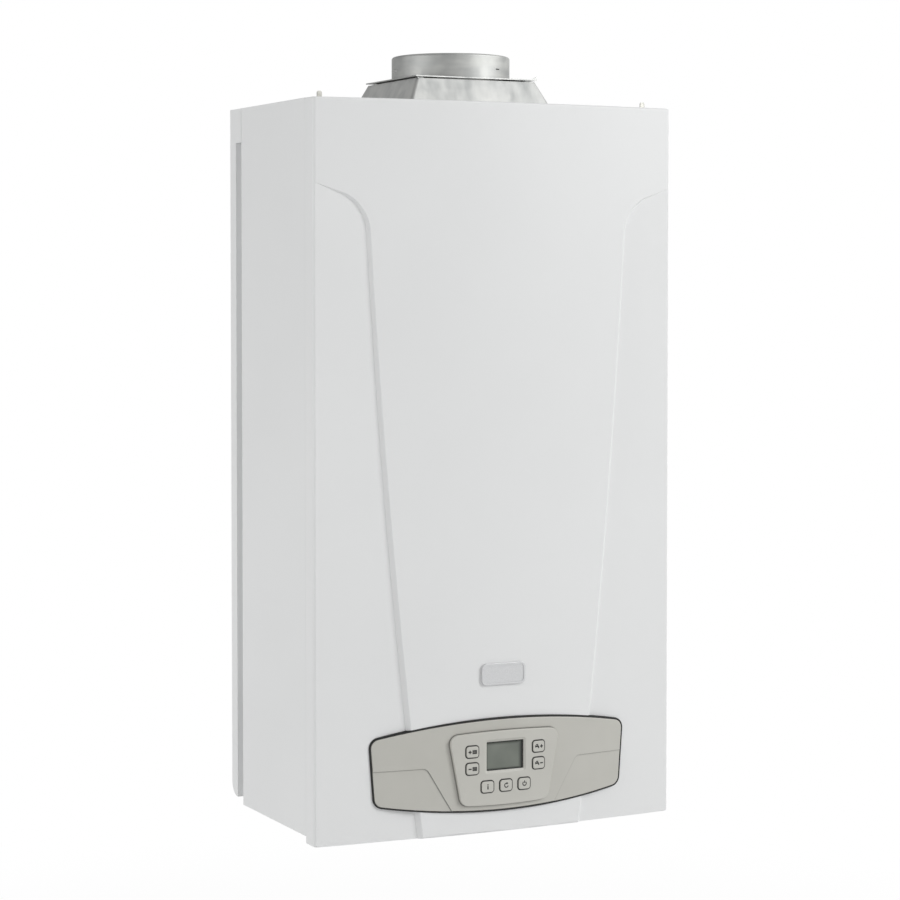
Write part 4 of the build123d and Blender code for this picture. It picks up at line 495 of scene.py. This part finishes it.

# Button lips
# Each button's hole has a thin dark lip, in the same near-black as the facia cord, which is painted
# shade standing in for the shadow in the gap round the button. The seven lips are alike, and each is
# turned to follow the bow of the plate.
LIP_W = 1.0
LIP_T = 0.9
LIP_GAP = 0.12
LIP_PROUD = 0.06
LIP_CORNER_STEPS = 6
BUTTON_CAP_W = 13.0
BUTTON_CAP_H = 11.0
BUTTON_CORNER = 2.6
PLATE_BOW_R = 924.5
lip_tree, given = sweep_tree("button_gap_shade_lips", {
    "Width": "NodeSocketFloat", "Height": "NodeSocketFloat", "Corner": "NodeSocketFloat",
    "Lip width": "NodeSocketFloat", "Lip depth": "NodeSocketFloat", "Bow radius": "NodeSocketFloat"})
hole = add(lip_tree, "GeometryNodeCurvePrimitiveQuadrilateral", None,
           {"Width": given.outputs["Width"], "Height": given.outputs["Height"]})
rounded = add(lip_tree, "GeometryNodeFilletCurve", {"mode": "POLY"},
              {"Curve": hole.outputs["Curve"], "Count": LIP_CORNER_STEPS,
               "Radius": given.outputs["Corner"]})
section = add(lip_tree, "GeometryNodeCurvePrimitiveQuadrilateral", None,
              {"Width": given.outputs["Lip width"], "Height": given.outputs["Lip depth"]})
lip = add(lip_tree, "GeometryNodeCurveToMesh", None,
          {"Curve": rounded.outputs["Curve"], "Profile Curve": section.outputs["Curve"]})
upright = add(lip_tree, "GeometryNodeTransform", None,
              {"Geometry": lip.outputs["Mesh"], "Rotation": (math.pi / 2, 0.0, 0.0)})
across = add(lip_tree, "ShaderNodeSeparateXYZ", None,
             {"Vector": add(lip_tree, "GeometryNodeInputPosition").outputs["Position"]}).outputs["X"]
slope = math_node(lip_tree, "DIVIDE", across, given.outputs["Bow radius"])
turn = add(lip_tree, "ShaderNodeCombineXYZ", None, {"Z": math_node(lip_tree, "ARCSINE", slope, 0.0)})
tilt = add(lip_tree, "FunctionNodeEulerToRotation", None, {"Euler": turn.outputs["Vector"]})
placed = add(lip_tree, "GeometryNodeInstanceOnPoints", None,
             {"Points": given.outputs["Geometry"], "Instance": upright.outputs["Geometry"],
              "Rotation": tilt.outputs["Rotation"]})
finish_tree(lip_tree, placed.outputs["Instances"], gap_shade_black)

plate_front = -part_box("keypad_plate")[0].y
lip_points = []
button_middles = {}
for name in button_names:
    low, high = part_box(name)
    middle_x, middle_z = (low.x + high.x) / 2, (low.z + high.z) / 2
    button_middles[name] = (middle_x, middle_z)
    bow = PLATE_BOW_R * MM - math.sqrt((PLATE_BOW_R * MM) ** 2 - middle_x ** 2)
    lip_points.append((middle_x, bow - plate_front + (LIP_T / 2 - LIP_PROUD) * MM, middle_z))
button_gap_shade_lips = grown("button_gap_shade_lips", lip_points, [], lip_tree, {
    "Width": (BUTTON_CAP_W + 2 * LIP_GAP + LIP_W) * MM,
    "Height": (BUTTON_CAP_H + 2 * LIP_GAP + LIP_W) * MM,
    "Corner": (BUTTON_CORNER + LIP_GAP + LIP_W / 2) * MM,
    "Lip width": LIP_W * MM, "Lip depth": LIP_T * MM, "Bow radius": PLATE_BOW_R * MM})
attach(button_gap_shade_lips, "control_panel")

# Printed marks
# Each button carries a generic mark, pad-printed in black ink on its crown: plus or minus beside a
# radiator or a tap, an upright stroke under a dot, a round arrow, and a broken ring with a bar.
INK_T = 0.03
INK_ROOT = 0.06
MARK_SHIFT = 3.0
ink, tree = new_material("black_pad_printing_ink")
speckle = noise(tree, 0.25, detail=2.0)
surface(tree, Base_Color=ramp(tree, speckle, ("#0C0C0C", "#161615")),
        Roughness=spread(tree, speckle, 0.4, 0.55), IOR=1.5)


def stroke(x0, z0, x1, z1, width):
    """The four corners of a straight stroke, in millimetres from the mark's middle."""
    along = Vector((x1 - x0, z1 - z0)).normalized() * width / 2
    return [(x0 - along.y, z0 + along.x), (x0 + along.y, z0 - along.x),
            (x1 + along.y, z1 - along.x), (x1 - along.y, z1 + along.x)]


def arc(radius, start, end, width, parts=16):
    """A curved stroke, cut into short straight ones, between two angles in degrees."""
    inner, outer = radius - width / 2, radius + width / 2
    strokes = []
    for index in range(parts):
        first, last = (math.radians(start + (end - start) * (index + step) / parts) for step in (0, 1))
        corners = ((inner, first), (outer, first), (outer, last), (inner, last))
        strokes.append([(reach * math.cos(angle), reach * math.sin(angle)) for reach, angle in corners])
    return strokes


def radiator(x):
    """Four upright bars joined by two rails, with its middle at x."""
    bars = [stroke(x + step, -2.0, x + step, 2.0, 1.0) for step in (-1.9, -0.65, 0.65, 1.9)]
    return bars + [stroke(x - 2.3, level, x + 2.3, level, 0.7) for level in (-1.2, 1.2)]


def tap(x):
    """A tap seen from the side: body, spout, stem, handle and wall flange."""
    return [stroke(x - 2.0, 0.1, x + 1.5, 0.1, 1.5), stroke(x + 1.2, 0.6, x + 1.7, -1.9, 1.3),
            stroke(x - 0.2, 0.6, x - 0.2, 1.9, 0.9), stroke(x - 1.4, 1.9, x + 1.0, 1.9, 0.9),
            stroke(x - 2.0, -1.0, x - 2.0, 1.2, 0.9)]


def plus(x):
    """Two crossed strokes."""
    return [stroke(x - 1.7, 0.0, x + 1.7, 0.0, 1.15), stroke(x, -1.7, x, 1.7, 1.15)]


def minus(x):
    """One level stroke."""
    return [stroke(x - 1.7, 0.0, x + 1.7, 0.0, 1.15)]


marks = {
    "button_heating_plus": plus(-MARK_SHIFT) + radiator(2.1),
    "button_heating_minus": minus(-MARK_SHIFT) + radiator(2.1),
    "button_water_plus": tap(-1.9) + plus(MARK_SHIFT),
    "button_water_minus": tap(-1.9) + minus(MARK_SHIFT),
    "button_info": [stroke(0.0, -2.4, 0.0, 0.8, 1.3), stroke(0.0, 1.5, 0.0, 2.7, 1.3)],
    "button_reset": arc(2.0, 75, 350, 1.0) + [[(0.2, 0.7), (0.2, 3.3), (2.2, 2.0)]],
    "button_power": arc(2.0, 125, 415, 1.0) + [stroke(0.0, 0.6, 0.0, 3.0, 1.0)],
}
for name, strokes in marks.items():
    crown = BVHTree.FromPolygons([vert.co for vert in nodes[name].data.vertices],
                                 [face.vertices for face in nodes[name].data.polygons])
    printed = bmesh.new()
    middle_x, middle_z = button_middles[name]
    for corners in strokes:
        layers = []
        for lift in (INK_T, -INK_ROOT):
            layer = []
            for x, z in corners:
                start = Vector((middle_x + x * MM, 2 * cad_low.y, middle_z + z * MM))
                hit = crown.ray_cast(start, Vector((0.0, 1.0, 0.0)))[0]
                layer.append(printed.verts.new(hit - Vector((0.0, lift * MM, 0.0))))
            layers.append(layer)
        front, root = layers
        printed.faces.new(front)
        printed.faces.new(root[::-1])
        for index in range(len(corners)):
            after = (index + 1) % len(corners)
            printed.faces.new((front[after], front[index], root[index], root[after]))
    bmesh.ops.recalc_face_normals(printed, faces=printed.faces[:])
    mesh = bpy.data.meshes.new("mark_on_" + name)
    printed.to_mesh(mesh)
    printed.free()
    mesh.materials.append(ink)
    mark = bpy.data.objects.new("mark_on_" + name, mesh)
    scene.collection.objects.link(mark)
    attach(mark, name)

# Badge
# A small lozenge-shaped plate, lacquered in silver, with a raised rim round a bare sunken field.
silver_lacquer, tree = new_material("silver_lacquer")
flake = noise(tree, 0.5, detail=1.0)
surface(tree,
        Base_Color=ramp(tree, flake, ("#C9CACB", "#D6D7D8")),
        Metallic=0.35,
        Roughness=spread(tree, flake, 0.28, 0.36),
        Coat_Weight=0.4,
        Coat_Roughness=0.12)
dress(silver_lacquer, "silver_badge", "badge_plate")

# Control box
# The box, its lid, the stud clips, sensors and the valve coils' covers are moulded in black
# glass-filled nylon, which is matt and slightly rough from the glass fibres.
black_nylon, tree = new_material("glass_filled_nylon")
fibres = noise(tree, 0.9, object_place(tree, scale=(1.0, 1.0, 0.4)), detail=3.0)
surface(tree,
        Base_Color=ramp(tree, fibres, ("#161616", "#1F2020")),
        Roughness=spread(tree, fibres, 0.46, 0.6),
        IOR=1.53,
        Normal=bump(tree, fibres, 0.03, 0.5))
dress(black_nylon, "black_nylon",
      "control_box", "box_lid", "stud_clips", "flue_thermostat", "gas_valve_coils",
      "diverter_motor", "flow_turbine", "pipe_sensors")

# Circuit boards
# The main board and the face board are pressed from glass fibre and epoxy and coated with green
# solder mask. Their copper tracks show through it as paler lines.
board_green, tree = new_material("solder_mask_on_glass_fibre")
tracks = add(tree, "ShaderNodeTexBrick", {"offset": 0.5, "squash": 0.6, "squash_frequency": 3},
             {"Vector": object_place(tree, turn=(math.pi / 2, 0.0, 0.0)), "Color1": linear("#1C5A30"),
              "Color2": linear("#206436"), "Mortar": linear("#3F8F55"), "Scale": 1 / (9 * MM),
              "Mortar Size": 0.04, "Brick Width": 0.7, "Row Height": 0.3})
surface(tree, Base_Color=tracks.outputs["Color"], Roughness=0.38,
        Normal=bump(tree, tracks.outputs["Fac"], 0.05, 0.5))
dress(board_green, "circuit_board", "circuit_boards")

# Button mat
# A sheet of dark silicone rubber, moulded in one piece, lies behind the buttons and presses them
# forwards. It is dull and very slightly dimpled.
silicone, tree = new_material("silicone_rubber")
skin = noise(tree, 1.2)
surface(tree, Base_Color=ramp(tree, skin, ("#4A4A4A", "#565656")),
        Roughness=spread(tree, skin, 0.6, 0.75), Normal=bump(tree, skin, 0.03, 0.4))
dress(silicone, "silicone_rubber", "keypad_mat")

# Heat cell
# Finned copper heat exchanger over twelve stainless burner bars, in a chamber lined with pressed
# ceramic fibre. Copper near the flames is browned; the ceramic of the electrodes is glazed.
copper, tree = new_material("drawn_copper")
tarnish = noise(tree, 25.0, detail=4.0)
surface(tree,
        Base_Color=ramp(tree, tarnish, ("#9A5B3D", "#B87352", "#C98A66")),
        Metallic=1.0,
        Roughness=spread(tree, tarnish, 0.24, 0.42),
        Normal=bump(tree, noise(tree, 0.8), 0.015, 0.3))
dress(copper, "copper", "exchanger_fins", "exchanger_tubes", "gas_inlet_pipe", "burner_pipe",
      "flow_pipe", "return_pipe")

stainless, tree = new_material("rolled_stainless_steel")
rolled = noise(tree, 0.9, object_place(tree, scale=(1.0, 0.08, 1.0)), detail=3.0)
surface(tree,
        Base_Color=ramp(tree, noise(tree, 20.0), ("#AEAEAC", "#C6C6C4")),
        Metallic=1.0,
        Roughness=spread(tree, rolled, 0.22, 0.36),
        Normal=bump(tree, rolled, 0.02, 0.3))
dress(stainless, "stainless_steel", "burner_bars", "plate_exchanger", "diverter_stem", "pump_rotor")

ceramic_fibre, tree = new_material("pressed_ceramic_fibre")
wool = noise(tree, 2.5, object_place(tree, scale=(1.0, 1.0, 3.0)), detail=5.0, rough=0.65)
surface(tree, Base_Color=ramp(tree, wool, ("#CFC7B8", "#E6E0D4")), Roughness=0.92,
        Normal=bump(tree, wool, 0.4, 0.8))
dress(ceramic_fibre, "ceramic_fibre", "insulation_panels")

glazed_ceramic, tree = new_material("glazed_alumina")
surface(tree, Base_Color=ramp(tree, noise(tree, 6.0), ("#E2DCCD", "#EFEADF")),
        Roughness=spread(tree, noise(tree, 3.0), 0.14, 0.24), IOR=1.55)
dress(glazed_ceramic, "ceramic", "electrodes")

# Cast and forged pieces
# The gas valve and pump body are die-cast aluminium, dull with a fine skin. The hydraulic blocks,
# the tails, the safety valve and the air vent are forged brass, tumbled and partly machined.
cast_aluminium, tree = new_material("die_cast_aluminium")
casting = noise(tree, 1.4, detail=4.0, rough=0.6)
surface(tree, Base_Color=ramp(tree, noise(tree, 12.0), ("#9B9D9F", "#B3B5B6")),
        Metallic=1.0, Roughness=spread(tree, casting, 0.4, 0.56), Normal=bump(tree, casting, 0.08, 0.6))
dress(cast_aluminium, "cast_aluminium", "gas_valve", "pump_body")

forged_brass, tree = new_material("forged_brass")
scale_marks = noise(tree, 1.8, detail=4.0, rough=0.6)
surface(tree, Base_Color=ramp(tree, noise(tree, 15.0), ("#A98746", "#C8A765")),
        Metallic=1.0, Roughness=spread(tree, scale_marks, 0.28, 0.44),
        Normal=bump(tree, scale_marks, 0.06, 0.5))
dress(forged_brass, "brass",
      "connection_tails", "flow_block", "return_block", "safety_valve", "air_vent")

# Painted and moulded pieces of the water side
# The expansion vessel is stoved in red, the pump motor is painted dark grey, and the safety and
# filling knobs are moulded in red and blue nylon. The vessel's hose is black EPDM rubber.
def painted_steel(name, light, dark, rough):
    """Sprayed paint on steel, with a soft flow pattern."""
    material, tree = new_material(name)
    surface(tree, Base_Color=ramp(tree, noise(tree, 50.0), (dark, light)),
            Roughness=spread(tree, noise(tree, 18.0), rough - 0.05, rough + 0.05),
            Coat_Weight=0.3, Coat_Roughness=0.2, Normal=bump(tree, noise(tree, 2.5), 0.02, 0.5))
    return material


dress(painted_steel("red_stoved_paint", "#A61D17", "#8F1712", 0.34), "red_enamel", "expansion_vessel")
dress(painted_steel("dark_motor_paint", "#2B2E31", "#222427", 0.42), "motor_paint", "pump_motor")
dress(moulded_plastic("red_nylon", "#B7241D", "#A81F19", 0.38, 0.8, 0.02), "red_nylon", "safety_knob")
dress(moulded_plastic("blue_nylon", "#1D4C9B", "#19438A", 0.38, 0.8, 0.02),
      "blue_nylon", "filling_knob")
dress(moulded_plastic("epdm_rubber", "#181818", "#101010", 0.7, 1.2, 0.04), "black_epdm", "vessel_hose")
